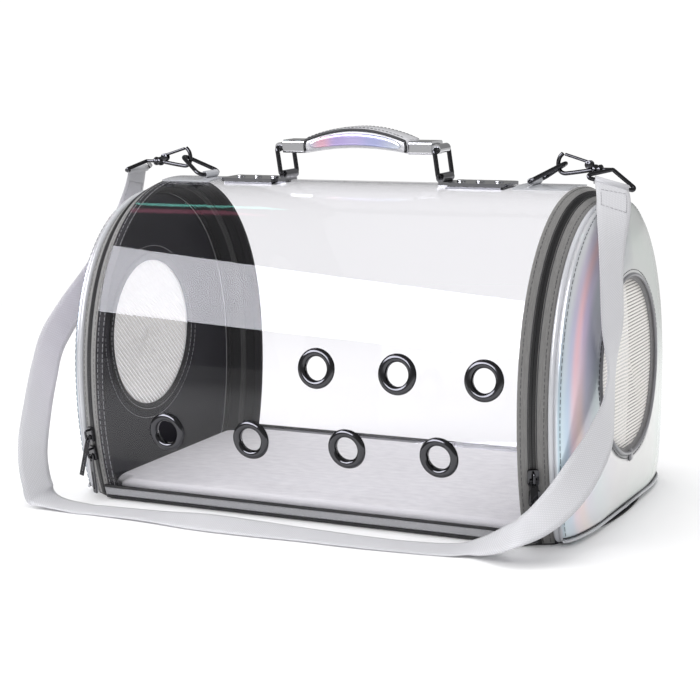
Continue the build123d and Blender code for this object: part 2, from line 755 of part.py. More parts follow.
def grip_frame():
    """Origin midway between the links' upper wires."""
    return Pos(link_top(1) - Vector(PIVOT_X, 0, 0))


def arched_bar(half, low_end, low_mid, high_end, high_mid, half_width_y):
    """A bar along X whose lower and upper faces are arcs."""
    low = ThreePointArc((-half, 0, low_end), (0, 0, low_mid), (half, 0, low_end))
    high = ThreePointArc((half, 0, high_end), (0, 0, high_mid), (-half, 0, high_end))
    right = Line((half, 0, low_end), (half, 0, high_end))
    left = Line((-half, 0, high_end), (-half, 0, low_end))
    face = Face(Wire([low, right, high, left]))
    bar = extrude(face, amount=half_width_y, dir=(0, 1, 0))
    return bar + extrude(face, amount=half_width_y, dir=(0, -1, 0))


def core_bar(grow):
    """Steel strip that runs through the grip into both end caps."""
    reach = GRIP_HALF + CAP_LENGTH / 2 + grow
    low = (CAP_LOW + CAP_HIGH) / 2 - CORE / 2 - grow
    rise = (GRIP_MID_LOW + GRIP_MID_HIGH) / 2 - CORE / 2 - grow
    return arched_bar(reach, low, rise, low + CORE + 2 * grow, rise + CORE + 2 * grow, CORE_HALF_WIDTH + grow)


def grip_core():
    return grip_frame() * core_bar(0)


def inlay_panel(side, grow):
    """Iridescent panel let into the grip's front (-1) or back (+1) face."""
    low_end = GRIP_END_LOW + INLAY_LOW - grow
    low_mid = GRIP_MID_LOW + INLAY_LOW - grow
    height_end = INLAY_HEIGHT - 1.5 + 2 * grow
    height_mid = INLAY_HEIGHT + 4.0 + 2 * grow
    bar = arched_bar(
        INLAY_HALF + grow, low_end, low_mid,
        low_end + height_end, low_mid + height_mid, GRIP_HALF_WIDTH,
    )
    near = GRIP_HALF_WIDTH - INLAY - grow
    slab = block(-REACH, REACH, near, GRIP_HALF_WIDTH + 1, -REACH, REACH)
    if side < 0:
        slab = mirror(slab, about=Plane.XZ)
    return bar & slab


def grip_cover():
    bar = arched_bar(GRIP_HALF, GRIP_END_LOW, GRIP_MID_LOW, GRIP_END_HIGH, GRIP_MID_HIGH, GRIP_HALF_WIDTH)
    long_edges = [e for e in bar.edges() if abs(abs(e.center().Y) - GRIP_HALF_WIDTH) < 0.01]
    long_edges = [e for e in long_edges if e.length > GRIP_HALF]
    bar = fillet(long_edges, 1.6)
    bar -= core_bar(SEAM)
    for side in (-1, 1):
        bar -= inlay_panel(side, SEAM)
    return grip_frame() * bar


def grip_inlays():
    return [grip_frame() * inlay_panel(side, 0) for side in (-1, 1)]


def handle_end(side):
    """Metal cap on one end of the grip, with the barrel for its link."""
    x0 = GRIP_HALF + SEAM
    cap = block(x0, x0 + CAP_LENGTH, -CAP_HALF_WIDTH, CAP_HALF_WIDTH, CAP_LOW, CAP_HIGH)
    cap = fillet(cap.edges().filter_by(Axis.X), CAP_EDGE)
    barrel = rod((PIVOT_X, -BARREL_HALF, 0), (PIVOT_X, BARREL_HALF, 0), LINK_WIRE_R + BARREL_WALL)
    neck = block(x0 + CAP_LENGTH - 1, PIVOT_X, -BARREL_HALF, BARREL_HALF, -2.6, 2.6)
    cap = cap + barrel + neck
    cap -= rod((PIVOT_X, -REACH, 0), (PIVOT_X, REACH, 0), LINK_WIRE_R + PIN_FIT)
    if side < 0:
        cap = other_end(cap)
    return grip_frame() * (cap - core_bar(SEAM))


def ring_tab():
    """Fabric tab sewn on the crown, with the loop that holds the ring."""
    patch = arch_layer(TAB_INNER_X, SHELL_HALF - SEAM, -SEAM - TAB, -SEAM)
    patch &= block(0, REACH, -TAB_HALF_WIDTH, TAB_HALF_WIDTH, CROWN_Z - 10, CROWN_Z + 10)
    loop_r = RING_WIRE_R + PIN_FIT + TAB_LOOP_WALL
    loop = rod((RING_X, -TAB_LOOP_HALF, RING_Z), (RING_X, TAB_LOOP_HALF, RING_Z), loop_r)
    tab = patch + loop - under_arch(-SEAM)
    tab -= rod((RING_X, -REACH, RING_Z), (RING_X, REACH, RING_Z), RING_WIRE_R + PIN_FIT)
    return tab.solids().sort_by(SortBy.VOLUME)[-1]


def ring_point(along, across):
    """A point of the strap ring, measured from its straight bar."""
    lean = radians(RING_LEAN)
    return Vector(RING_X + along * cos(lean), across, RING_Z + along * sin(lean))


def strap_ring():
    points = [
        ring_point(0, 0),
        ring_point(0, RING_HALF_WIDTH),
        ring_point(RING_HEIGHT, 0),
        ring_point(0, -RING_HALF_WIDTH),
    ]
    path = FilletPolyline(*points[1:], radius=[RING_CORNER, RING_NOSE, RING_CORNER], close=True)
    section = Plane(origin=path @ 0, z_dir=path % 0) * Circle(RING_WIRE_R)
    return sweep(section, path=path)


def hook_body():
    """Bow from the barrel under the ring's nose and up, with cheeks for the gate."""
    bow = bent_rod(
        [
            (HOOK_BACK_X, 0, HOOK_BACK_Z),
            (HOOK_LOW_X, 0, HOOK_LOW_Z),
            (HOOK_NOSE_X, 0, HOOK_NOSE_Z),
            (HOOK_TIP_X, 0, HOOK_TIP_Z),
        ],
        HOOK_WIRE_R, HOOK_BEND,
    )
    barrel = rod((HOOK_BACK_X - 0.6, 0, STUD_Z), (STUD_X, 0, STUD_Z), HOOK_BARREL_R)
    barrel -= rod((STUD_X - STUD_IN, 0, STUD_Z), (STUD_X + 1, 0, STUD_Z), STUD_R + PIN_FIT)
    near = GATE_R + CHEEK_GAP
    cheek = block(
        GATE_PIVOT_X - 2.4, HOOK_BACK_X + 2,
        near, near + CHEEK,
        HOOK_BACK_Z, GATE_PIVOT_Z + 2.2,
    )
    cheeks = cheek + mirror(cheek, about=Plane.XZ)
    pin_hole = rod((GATE_PIVOT_X, -9, GATE_PIVOT_Z), (GATE_PIVOT_X, 9, GATE_PIVOT_Z), GATE_PIN_R + PIN_FIT)
    return bow + barrel + cheeks - pin_hole


def hook_gate():
    """Sprung bar that closes the hook, with its pin."""
    bar = rod((GATE_PIVOT_X, 0, GATE_PIVOT_Z), (GATE_TIP_X, 0, GATE_TIP_Z), GATE_R)
    reach = GATE_R + CHEEK_GAP + CHEEK
    pin = rod((GATE_PIVOT_X, -reach, GATE_PIVOT_Z), (GATE_PIVOT_X, reach, GATE_PIVOT_Z), GATE_PIN_R)
    return bar + pin


def strap_eye(bar, way):
    """Stud and three-sided loop, whose far side carries the webbing."""
    neck = Vector(STUD_X + STUD_OUT, 0, STUD_Z)
    stud = rod((STUD_X - STUD_IN + SEAM, 0, STUD_Z), neck, STUD_R)
    corners = [neck, bar + way * EYE_HALF_WIDTH, bar - way * EYE_HALF_WIDTH]
    return stud + bent_rod(corners, EYE_WIRE_R, EYE_CORNER, close=True)


def strap_section(before, here, after, way):
    """Section of the webbing, square to its course, with its width along a given way."""
    along = (after - before).normalized()
    across = way - along * way.dot(along)
    plane = Plane(origin=here, x_dir=across, z_dir=along)
    return plane * Rectangle(2 * STRAP_HALF_WIDTH, STRAP)


def strap_sleeve(bar, way):
    """The webbing where it is sewn round an eye's bar, and the bore of that sleeve."""
    end = way * STRAP_HALF_WIDTH
    bore_r = EYE_WIRE_R + SEAM
    return rod(bar - end, bar + end, bore_r + STRAP), rod(bar - end * 2, bar + end * 2, bore_r)


def shoulder_strap():
    left_bar = Vector(-LEFT_BAR.X, LEFT_BAR.Y, LEFT_BAR.Z)
    course = [(left_bar, LEFT_BAR_WAY)]
    for point, way in LEFT_FALL + FLOOR_RUN + RIGHT_RISE:
        course.append((Vector(*point), Vector(*way)))
    course.append((RIGHT_BAR, RIGHT_BAR_WAY * -1))
    sections = []
    last = len(course) - 1
    for index, (point, way) in enumerate(course):
        before = course[max(0, index - 1)][0]
        after = course[min(last, index + 1)][0]
        sections.append(strap_section(before, point, after, way))
    strap = loft(sections, ruled=True)
    for bar, way in ((left_bar, LEFT_BAR_WAY), (RIGHT_BAR, RIGHT_BAR_WAY)):
        sleeve, bore = strap_sleeve(bar, way)
        strap = strap + sleeve - bore
    return strap.solids().sort_by(SortBy.VOLUME)[-1]


def write(name, shapes):
    """Write one node; its pieces stay separate solids."""
    if not isinstance(shapes, list):
        shapes = [shapes]
    solids = [solid for shape in shapes for solid in shape.solids()]
    for solid in solids:
        assert solid.is_valid, name
    node = solids[0] if len(solids) == 1 else Compound(children=solids)
    node.label = name
    export_step(node, f"parts/{name}.step")


def write_pair(name, right):
    """Write the right piece and its mirror image at the left end."""
    write(f"right_{name}", right)
    write(f"left_{name}", other_end(right))


os.makedirs("parts", exist_ok=True)

write("base_cover", base_cover())
write("base_board", base_board())
write("floor_pad", floor_pad())
write("clear_shell", clear_shell())
write("front_trim", foot_trim())
write("rear_trim", mirror(foot_trim(), about=Plane.XZ))
write("front_cords", foot_cords())
write("rear_cords", [mirror(cord, about=Plane.XZ) for cord in foot_cords()])
write("hoop_wires", both_ends(hoop_wire()))
write("hoop_sleeves", both_ends(hoop_sleeve()))
write("body_zip_tapes", both_ends(body_tape()))
write("body_zip_coils", both_ends(body_coil()))
write("eyelets", eyelets())
write("eyelet_washers", eyelet_washers())

write_pair("door_skin", door_layer(0, SKIN))
write_pair("door_foam", door_layer(SKIN + LAYER_GAP, FOAM))
write_pair("door_lining", door_layer(lining_depth(), LINING))
write_pair("mesh_binding", mesh_binding())
write_pair("window_mesh", window_mesh())
write_pair("door_piping", door_piping())
write_pair("door_zip_tape", door_tape())
write_pair("door_zip_coil", door_coil())

for place, height, tilt in zip(("lower", "upper"), SLIDER_HEIGHTS, PULL_TILTS):
    write_pair(f"{place}_slider", zip_slider(height))
    write_pair(f"{place}_pull", zip_pull(height, tilt))

write_pair("handle_plate", handle_plate())
write("backing_plates", both_ends(backing_plate()))
write("handle_rivets", handle_rivets())
write("right_link", ring_link(1))
write("left_link", ring_link(-1))
write("grip_core", grip_core())
write("grip_cover", grip_cover())
write("grip_inlays", grip_inlays())
write("right_handle_end", handle_end(1))
write("left_handle_end", handle_end(-1))

write_pair("ring_tab", ring_tab())
write_pair("strap_ring", strap_ring())
write_pair("hook", hook_body())
write_pair("hook_gate", hook_gate())
write("right_strap_eye", strap_eye(RIGHT_BAR, RIGHT_BAR_WAY))
write("left_strap_eye", other_end(strap_eye(LEFT_BAR, LEFT_BAR_WAY)))
write("shoulder_strap", shoulder_strap())
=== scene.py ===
from math import acos, atan2, cos, pi, radians, sin, sqrt

import bmesh
import bpy
from mathutils import Matrix, Vector


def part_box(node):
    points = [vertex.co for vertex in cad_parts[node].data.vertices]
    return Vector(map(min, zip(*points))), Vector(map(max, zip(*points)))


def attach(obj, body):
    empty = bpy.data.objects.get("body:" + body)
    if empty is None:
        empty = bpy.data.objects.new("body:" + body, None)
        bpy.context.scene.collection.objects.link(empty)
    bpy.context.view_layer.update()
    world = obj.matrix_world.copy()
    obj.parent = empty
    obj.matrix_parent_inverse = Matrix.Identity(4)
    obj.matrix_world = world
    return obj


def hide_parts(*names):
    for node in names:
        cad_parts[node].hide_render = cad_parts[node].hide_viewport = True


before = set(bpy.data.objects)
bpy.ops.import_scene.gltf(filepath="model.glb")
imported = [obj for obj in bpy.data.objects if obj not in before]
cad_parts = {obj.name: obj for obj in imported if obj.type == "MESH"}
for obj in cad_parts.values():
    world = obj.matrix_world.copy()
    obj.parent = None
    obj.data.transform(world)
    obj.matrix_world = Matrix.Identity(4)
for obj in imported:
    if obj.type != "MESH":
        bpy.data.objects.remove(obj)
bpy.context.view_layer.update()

MM = 0.001
SIDES = (("right", 1), ("left", -1))

# Sizes in millimetres, as in the CAD model
SHELL_HALF = 170.0
ARCH_HALF_WIDTH = 124.4
ARCH_WIDEST_Z = 86.6
ARCH_RISE = 151.8
ARCH_POWER = 2.2
FOOT_HALF_WIDTH = 110.1
FOOT_POWER = 2.08
BAND_LENGTH = 18.4
BAND_DROP = 10.6
BAND_END_X = SHELL_HALF + BAND_LENGTH
SPLIT_X = SHELL_HALF + BAND_LENGTH / 2
FOOT_Z = 1.05
DOOR_FOOT_Z = 1.3
PIPING_X = 188.5
PIPING_R = 2.25
PIPING_OUT = 1.6
RIM_X = 193.1
RIM_INSET = 9.6
RIM_CORNER = 5.0
SHOULDER_X = 196.0
SHOULDER_INSET = 8.0
DOME_SPAN = 114.0
CAP_ANGLE = 55.0
SHOULDER_CORNER = 6.0
CAP_CORNER = 34.0
CAP_FLOOR_RISE = 12.0
INNER_WINDOW = (58.0, 61.0)
WINDOW_Z = 111.0
SKIN = 1.0
LINING = 0.8
TAPE = 1.2
COIL_WIDTH = 1.65
SEAM = 0.05
SHEET = 0.8
SLEEVE = 2.6
HOOP = 0.8
TRIM_HALF = 172.0
TRIM_LOW = 3.15
TRIM_HIGH = 9.85
TRIM = 1.5
STRAP_HALF_WIDTH = 12.5
STRAP = 1.4

# Sizes in millimetres that the visual model has for itself
DOME_RISE = {"right": 16.0, "left": 7.0}
FLAT_DRAW_IN = 0.5           # how much further inside its rim each millimetre of lost rise brings a dome
OUTER_WINDOW = (64.5, 65.0)
NET_EDGE = (59.5, 62.0)
FOAM_DEPTH = 2.1
FOAM = 1.9
NET_DEPTH = 3.0
NET = 0.5
LINING_DEPTH = 3.3
WALL = LINING_DEPTH + LINING
SLEEVE_WIDTH = 7.0
SLEEVE_FROM = {"right": 170.4, "left": 163.0}
SLEEVE_SEAMS = (5.4, 1.2)
SLEEVE_SEAM_LIFT = 0.02 - SHEET
HOOP_MARGIN = 0.5

# How finely the round shapes are drawn
CORNER_STEPS = 12
RING_POINTS = 240
DOME_ROWS = 20
CAP_SHARES = (0.25, 0.5, 0.75, 1.0)
ARCH_STEPS = 400
TOOTH_POINTS = 1400
TOOTH_STEP = 4
CORD_POINTS = 300
SEWN_POINTS = 700
RIBBON_STEPS = 6
RIBBON_STRIPS = 2 * RIBBON_STEPS + 6
PIPING_SIDES = 16
BEAD_SIDES = 8
STITCH_SIDES = 5

# Sewn lines: the length of a stitch, the gap after it and its thread's radius
WINDOW_STITCH = (2.6, 1.4, 0.24)
RIM_STITCH = (3.0, 1.6, 0.24)
TAPE_STITCH = (2.6, 1.4, 0.22)
TRIM_STITCH = (2.8, 1.4, 0.22)
GRIP_STITCH = (2.0, 1.2, 0.22)
STRAP_STITCH = (2.2, 1.0, 0.24)
START_SHARE = 0.35           # a stitch only starts within this share of its own length
LIFT = 0.12                  # how far a sewn line stands out of its cloth

# Window: rings given as distance outside an opening's edge and depth under the door's outside
BEAD_R = 1.3
BEAD_OUT = 0.2
POCKET = ((OUTER_WINDOW, -0.4, 0.6), (OUTER_WINDOW, -1.0, 1.6), (NET_EDGE, 1.2, 2.3),
          (NET_EDGE, -0.8, NET_DEPTH - 0.2))
POCKET_WALL = 0.3
EDGING = ((-1.2, LINING_DEPTH), (-1.9, WALL - 0.3), (-1.2, WALL + 0.8), (0.8, WALL + 1.1),
          (3.4, WALL + 0.9), (4.6, WALL + 0.1), (2.0, LINING_DEPTH + 0.2))
NET_SHARES = (1.0, 0.85, 0.7, 0.55, 0.4, 0.25, 0.1)
NET_CROWN = 1.0
JOINT_SIZE = (1.6, 7.0, 9.0)
JOINT_EDGE = 0.7
JOINT_SHIFT = (0.5, -3.0, -1.5)

# Rim and foot of a door
RIM_SEAM_SHARE = 0.12
FOOT_BEAD_Z = 6.0
FOOT_BEAD_SHARE = 0.76
FOOT_BEAD_STEPS = 35
FOOT_BEAD_OUT = 0.7
FOOT_BEAD_DROP = 1.4
FOOT_LEAN = 0.2
FOOT_LINES = (("foot_bead", 1.2, 0.0), ("foot_seam", 0.4, 2.0))

# Zip: how far its parts lie from the middle of the band
SEAM_CORD_AT = 2.6
SEAM_CORD_R = 0.34
SEAM_CORD_LIFT = 0.1
TEETH_AT = 0.95
SEWN_AT = 7.0
TOOTH_HALF = (0.6, 0.34, 0.4)
TOOTH_FOOT = 0.85
TOOTH_OUT = 0.45
TOOTH_FACES = ((0, 1, 3, 2), (4, 6, 7, 5), (0, 4, 5, 1), (2, 3, 7, 6), (0, 2, 6, 4), (1, 5, 7, 3))

# A ribbon's soft edges
RIBBON_EDGE = 0.4            # how far they reach in, as a share of its thickness
RIBBON_EDGE_MOST = 0.5       # and at most, in millimetres
RIBBON_EDGE_HIGH = 0.6       # upper end of a side under the top, as a share of that reach
RIBBON_EDGE_LOW = 0.7        # lower end of a side under the top, as a share of the thickness


def half_width(z, inset=0.0):
    """Half width of the arch at one height, drawn in by an inset."""
    width = ARCH_HALF_WIDTH - inset
    if z >= ARCH_WIDEST_Z:
        share = min(1.0, (z - ARCH_WIDEST_Z) / (ARCH_RISE - inset))
        return width * (1 - share ** ARCH_POWER) ** (1 / ARCH_POWER)
    drop = (ARCH_WIDEST_Z - z) / ARCH_WIDEST_Z
    return width - (ARCH_HALF_WIDTH - FOOT_HALF_WIDTH) * drop ** FOOT_POWER


def between(a, b, share):
    """The point or colour at a share of the way from one to another."""
    return tuple(x + (y - x) * share for x, y in zip(a, b))


def resample(points, count):
    """Points at even steps along a line of points, both ends included."""
    lengths = [0.0]
    for a, b in zip(points, points[1:]):
        lengths.append(lengths[-1] + sqrt((b[0] - a[0]) ** 2 + (b[1] - a[1]) ** 2))
    even = []
    place = 0
    for i in range(count):
        want = lengths[-1] * i / (count - 1)
        while place < len(points) - 2 and lengths[place + 1] < want:
            place += 1
        span = lengths[place + 1] - lengths[place]
        share = (want - lengths[place]) / span if span else 0.0
        even.append(between(points[place], points[place + 1], share))
    return even


def half_arch(inset, foot_z, steps=60):
    """Front half of the arch, from foot to crown, as (y, z)."""
    heights = [foot_z + (ARCH_WIDEST_Z - foot_z) * i / steps for i in range(steps + 1)]
    points = [(-half_width(z, inset), z) for z in heights]
    for i in range(1, steps + 1):
        angle = pi / 2 * i / steps
        y = -(ARCH_HALF_WIDTH - inset) * max(0.0, cos(angle)) ** (2 / ARCH_POWER)
        z = ARCH_WIDEST_Z + (ARCH_RISE - inset) * sin(angle) ** (2 / ARCH_POWER)
        points.append((y, z))
    return points


def arch(inset, foot_z, count):
    """The arch from its front foot over the crown to its back foot, evenly spaced."""
    front = half_arch(inset, foot_z)
    back = [(-y, z) for y, z in reversed(front[:-1])]
    return resample(front + back, count)


def band_inset(x):
    """How far the slanting band lies inside the sheet's arch at one place along the tunnel."""
    return max(0.0, BAND_DROP * (x - SHELL_HALF) / BAND_LENGTH)


def door_half(inset, foot_z, corner):
    """Front half of a door's outline, from the middle of its foot to its crown."""
    side_z = foot_z + corner
    side_y = half_width(side_z, inset)
    drop = (ARCH_WIDEST_Z - side_z) / ARCH_WIDEST_Z
    slope = (ARCH_HALF_WIDTH - FOOT_HALF_WIDTH) * FOOT_POWER * drop ** (FOOT_POWER - 1) / ARCH_WIDEST_Z
    corner_y = side_y - slope * corner
    foot_y = corner_y - corner
    points = [(0.0, foot_z)]
    for i in range(CORNER_STEPS + 1):
        t = i / CORNER_STEPS
        y = (1 - t) ** 2 * foot_y + 2 * t * (1 - t) * corner_y + t * t * side_y
        z = (1 - t) ** 2 * foot_z + 2 * t * (1 - t) * foot_z + t * t * side_z
        points.append((-y, z))
    return points + half_arch(inset, side_z)[1:]


def door_ring(inset, foot_z, corner):
    """Closed outline of a door, RING_POINTS long, starting at the middle of its foot."""
    front = resample(door_half(inset, foot_z, corner), RING_POINTS // 2 + 1)
    return front + [(-y, z) for y, z in reversed(front[1:-1])]


# Meshes

def link_object(name, data):
    obj = bpy.data.objects.new(name, data)
    bpy.context.collection.objects.link(obj)
    return obj


def close_work(work, mesh, smooth=True):
    """Write a mesh that was worked on, and shade it."""
    work.to_mesh(mesh)
    work.free()
    for face in mesh.polygons:
        face.use_smooth = smooth


def link_mesh(name, verts, faces, uvs=None, smooth=True):
    """A mesh object from points in millimetres."""
    mesh = bpy.data.meshes.new(name)
    mesh.from_pydata([Vector(v) * MM for v in verts], [], faces)
    if uvs is not None:
        layer = mesh.uv_layers.new(name="along")
        for loop in mesh.loops:
            layer.data[loop.index].uv = uvs[loop.vertex_index]
    mesh.update()
    work = bmesh.new()
    work.from_mesh(mesh)
    bmesh.ops.recalc_face_normals(work, faces=work.faces)
    close_work(work, mesh, smooth)
    return link_object(name, mesh)


def stack(rows, closed_rows=True, closed_stack=False, caps=False):
    """Verts and faces over rows of points.

    closed_rows joins each row's ends, closed_stack the last row to the first, and caps fill both outer rows.
    """
    count = len(rows[0])
    faces = []
    for r in range(len(rows) if closed_stack else len(rows) - 1):
        below = r * count
        above = ((r + 1) % len(rows)) * count
        for c in range(count if closed_rows else count - 1):
            d = (c + 1) % count
            faces.append((below + c, below + d, above + d, above + c))
    if caps:
        faces.append(tuple(range(count)))
        faces.append(tuple(reversed(range((len(rows) - 1) * count, len(rows) * count))))
    return [p for row in rows for p in row], faces


def grid(name, rows, **joins):
    """A surface over rows of points."""
    return link_mesh(name, *stack(rows, **joins))


def thicken(obj, thickness):
    """Give a surface its thickness, half to each side."""
    mod = obj.modifiers.new("Thickness", "SOLIDIFY")
    mod.thickness = thickness * MM
    mod.offset = 0
    return obj


def circle(sides):
    """Cosine and sine of even turns round a circle."""
    turns = [2 * pi * k / sides for k in range(sides)]
    return [(cos(turn), sin(turn)) for turn in turns]


def ring_round(centre, normal, side, radius, sides):
    return [centre + (normal * c + side * s) * radius for c, s in circle(sides)]


def tube(points, radius, sides):
    """Verts and faces of a round tube through points, in millimetres."""
    rows = []
    last = len(points) - 1
    normal = None
    for i, point in enumerate(points):
        along = (Vector(points[min(last, i + 1)]) - Vector(points[max(0, i - 1)])).normalized()
        if normal is None:
            normal = along.orthogonal().normalized()
        normal = (normal - along * normal.dot(along)).normalized()
        rows.append(ring_round(Vector(point), normal, along.cross(normal), radius, sides))
    return stack(rows, caps=True)


def open_tube(first, last, outer, inner, sides=20):
    """A straight sleeve with a bore."""
    along = (last - first).normalized()
    normal = along.orthogonal().normalized()
    side = along.cross(normal)
    rings = ((first, inner), (first, outer), (last, outer), (last, inner))
    rows = [ring_round(centre, normal, side, radius, sides) for centre, radius in rings]
    return stack(rows, closed_stack=True)


def turned(profile, place_at, sides=24):
    """A turned shape: rings from (place along the axis, radius), set in space by a function."""
    rows = [[Vector(place_at(at, radius * c, radius * s)) for c, s in circle(sides)] for at, radius in profile]
    return stack(rows, caps=True)


def gather(parts):
    """One list of verts and faces from several."""
    verts, faces = [], []
    for some_verts, some_faces in parts:
        start = len(verts)
        verts += some_verts
        faces += [tuple(start + i for i in face) for face in some_faces]
    return verts, faces


def fine(points, count):
    """More points along a row, by straight division."""
    out = []
    for a, b in zip(points, points[1:]):
        for i in range(count):
            out.append(Vector(a).lerp(Vector(b), i / count))
    return out + [Vector(points[-1])]


def stitch_line(points, length, gap, radius):
    """Short raised stitches along a line of points."""
    parts = []
    travelled = 0.0
    start = None
    for a, b in zip(points, points[1:]):
        phase = travelled % (length + gap)
        if start is None and phase < length * START_SHARE:
            start = Vector(a)
        elif start is not None and phase >= length:
            parts.append(tube([start, Vector(a)], radius, STITCH_SIDES))
            start = None
        travelled += (Vector(b) - Vector(a)).length
    return gather(parts)


def sewn(name, points, stitch, finer=1):
    """A row of stitches as a piece."""
    return link_mesh(name, *stitch_line(fine(points, finer), *stitch))


def soft_box(name, centre, size, radius):
    """A small box with rounded edges, in millimetres."""
    mesh = bpy.data.meshes.new(name)
    work = bmesh.new()
    bmesh.ops.create_cube(work, size=1)
    for v in work.verts:
        v.co = Vector(centre) * MM + Vector(v.co[i] * size[i] for i in range(3)) * MM
    bmesh.ops.bevel(work, geom=list(work.edges), offset=radius * MM, segments=3, affect="EDGES")
    close_work(work, mesh)
    return link_object(name, mesh)


def close_middle(obj, count):
    """Fill the small hole in the middle of a net whose last ring is the smallest."""
    total = len(obj.data.vertices)
    work = bmesh.new()
    work.from_mesh(obj.data)
    work.verts.ensure_lookup_table()
    work.faces.new([work.verts[i] for i in range(total - count, total)])
    bmesh.ops.recalc_face_normals(work, faces=work.faces)
    close_work(work, obj.data)
    return obj


def curve_through(values, t):
    """A smooth curve through a list of vectors, at t counted in stations."""
    last = len(values) - 1
    i = min(int(t), last - 1)
    f = t - i
    p0 = values[max(0, i - 1)]
    p1, p2 = values[i], values[i + 1]
    p3 = values[min(last, i + 2)]
    return (p1 * 2 + (p2 - p0) * f + (p0 * 2 - p1 * 5 + p2 * 4 - p3) * f * f
            + (p1 * 3 - p0 - p2 * 3 + p3) * f * f * f) * 0.5


def bake(obj):
    """Apply an object's modifiers to its mesh."""
    graph = bpy.context.evaluated_depsgraph_get()
    mesh = bpy.data.meshes.new_from_object(obj.evaluated_get(graph))
    obj.modifiers.clear()
    obj.data = mesh


def place(obj, body, slot, material, *nodes):
    """Put a finished piece on its body, with its material and the nodes that it stands for."""
    obj.data.materials.append(material)
    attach(obj, body)
    if nodes:
        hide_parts(*nodes)
    return obj


# Materials

def new_material(name):
    material = bpy.data.materials.new(name)
    material.use_nodes = True
    tree = material.node_tree
    return material, tree, tree.nodes["Principled BSDF"]


def feed(tree, node, inputs):
    """Set a node's inputs: each takes a value, or another node's output."""
    for key, value in inputs.items():
        if isinstance(value, bpy.types.NodeSocket):
            tree.links.new(value, node.inputs[key])
        else:
            node.inputs[key].default_value = value
    return node


def add(tree, kind, inputs, **settings):
    """A new node of a kind, with its settings and inputs."""
    node = tree.nodes.new(kind)
    for key, value in settings.items():
        setattr(node, key, value)
    return feed(tree, node, inputs)


def ramp(tree, share, stops):
    """Two colours along a share, as (place, colour)."""
    node = add(tree, "ShaderNodeValToRGB", {"Fac": share})
    for element, (at, colour) in zip(node.color_ramp.elements, stops):
        element.position = at
        element.color = (*colour, 1)
    return node.outputs["Color"]


def coordinates(tree, kind="Object"):
    return add(tree, "ShaderNodeTexCoord", {}).outputs[kind]


def scaled_place(tree, scale, kind="Object"):
    """Coordinates stretched by a scale along each axis."""
    node = add(tree, "ShaderNodeMapping", {"Vector": coordinates(tree, kind), "Scale": scale})
    return node.outputs["Vector"]


def noise(tree, scale, detail, vector=None, roughness=0.5):
    inputs = {"Scale": scale, "Detail": detail, "Roughness": roughness}
    if vector is not None:
        inputs["Vector"] = vector
    return add(tree, "ShaderNodeTexNoise", inputs).outputs["Fac"]


def wave(tree, vector, direction, scale, distortion=0.0):
    """Bands that stand for yarns."""
    inputs = {"Vector": vector, "Scale": scale, "Distortion": distortion}
    return add(tree, "ShaderNodeTexWave", inputs, wave_type="BANDS", bands_direction=direction).outputs["Fac"]


def work_out(tree, operation, *values):
    return add(tree, "ShaderNodeMath", dict(enumerate(values)), operation=operation).outputs[0]


def spread(tree, share, low, high):
    """A share from 0 to 1 laid over a range."""
    return add(tree, "ShaderNodeMapRange", {"Value": share, "To Min": low, "To Max": high}).outputs["Result"]


def blend_shaders(tree, share, first, second):
    """Show the second of two shaders by a share."""
    blend = add(tree, "ShaderNodeMixShader", {0: share, 1: first, 2: second})
    tree.links.new(blend.outputs["Shader"], tree.nodes["Material Output"].inputs["Surface"])


def set_bump(tree, shader, height, strength, distance):
    bump = add(tree, "ShaderNodeBump", {"Height": height, "Strength": strength, "Distance": distance * MM})
    tree.links.new(bump.outputs["Normal"], shader.inputs["Normal"])


def darker(colour, share):
    return tuple(c * share for c in colour)


def woven(name, colour, dark, pitch=0.9, roughness=0.7, sheen=0.2, bump=0.35, shine=0.5):
    """Woven cloth or tape: two crossing waves for the yarns and slow noise for wear."""
    material, tree, shader = new_material(name)
    vector = scaled_place(tree, (1000 / pitch,) * 3)
    cross = work_out(tree, "MULTIPLY", wave(tree, vector, "DIAGONAL", 0.5, 0.4), wave(tree, vector, "Z", 0.5))
    share = work_out(tree, "MULTIPLY_ADD", cross, 0.6, noise(tree, 35.0, 4.0))
    feed(tree, shader, {"Base Color": ramp(tree, share, [(0.35, dark), (0.9, colour)]), "Roughness": roughness,
                        "Sheen Weight": sheen, "Specular IOR Level": shine})
    set_bump(tree, shader, cross, bump, 0.3)
    return material


def metal(name, colour, roughness, scratch=0.04):
    """Polished or plated metal with faint handling marks."""
    material, tree, shader = new_material(name)
    marks = noise(tree, 1.0, 6.0, scaled_place(tree, (220, 220, 900)), 0.6)
    rough = spread(tree, marks, max(0.02, roughness - scratch), roughness + scratch)
    feed(tree, shader, {"Base Color": (*colour, 1), "Metallic": 1.0, "Roughness": rough})
    set_bump(tree, shader, marks, 0.05, 0.2)
    return material


def leatherette(name, colour, roughness=0.35, grain=1.2, bump=0.12, coat=0.3):
    """Coated cloth with a fine grain and soft creases."""
    material, tree, shader = new_material(name)
    cells = add(tree, "ShaderNodeTexVoronoi", {"Vector": scaled_place(tree, (1000 / grain,) * 3)},
                feature="DISTANCE_TO_EDGE")
    tone = ramp(tree, noise(tree, 18.0, 3.0), [(0.3, darker(colour, 0.88)), (0.7, colour)])
    feed(tree, shader, {"Base Color": tone, "Roughness": roughness, "Coat Weight": coat})
    set_bump(tree, shader, cells.outputs["Distance"], bump, 0.15)
    return material


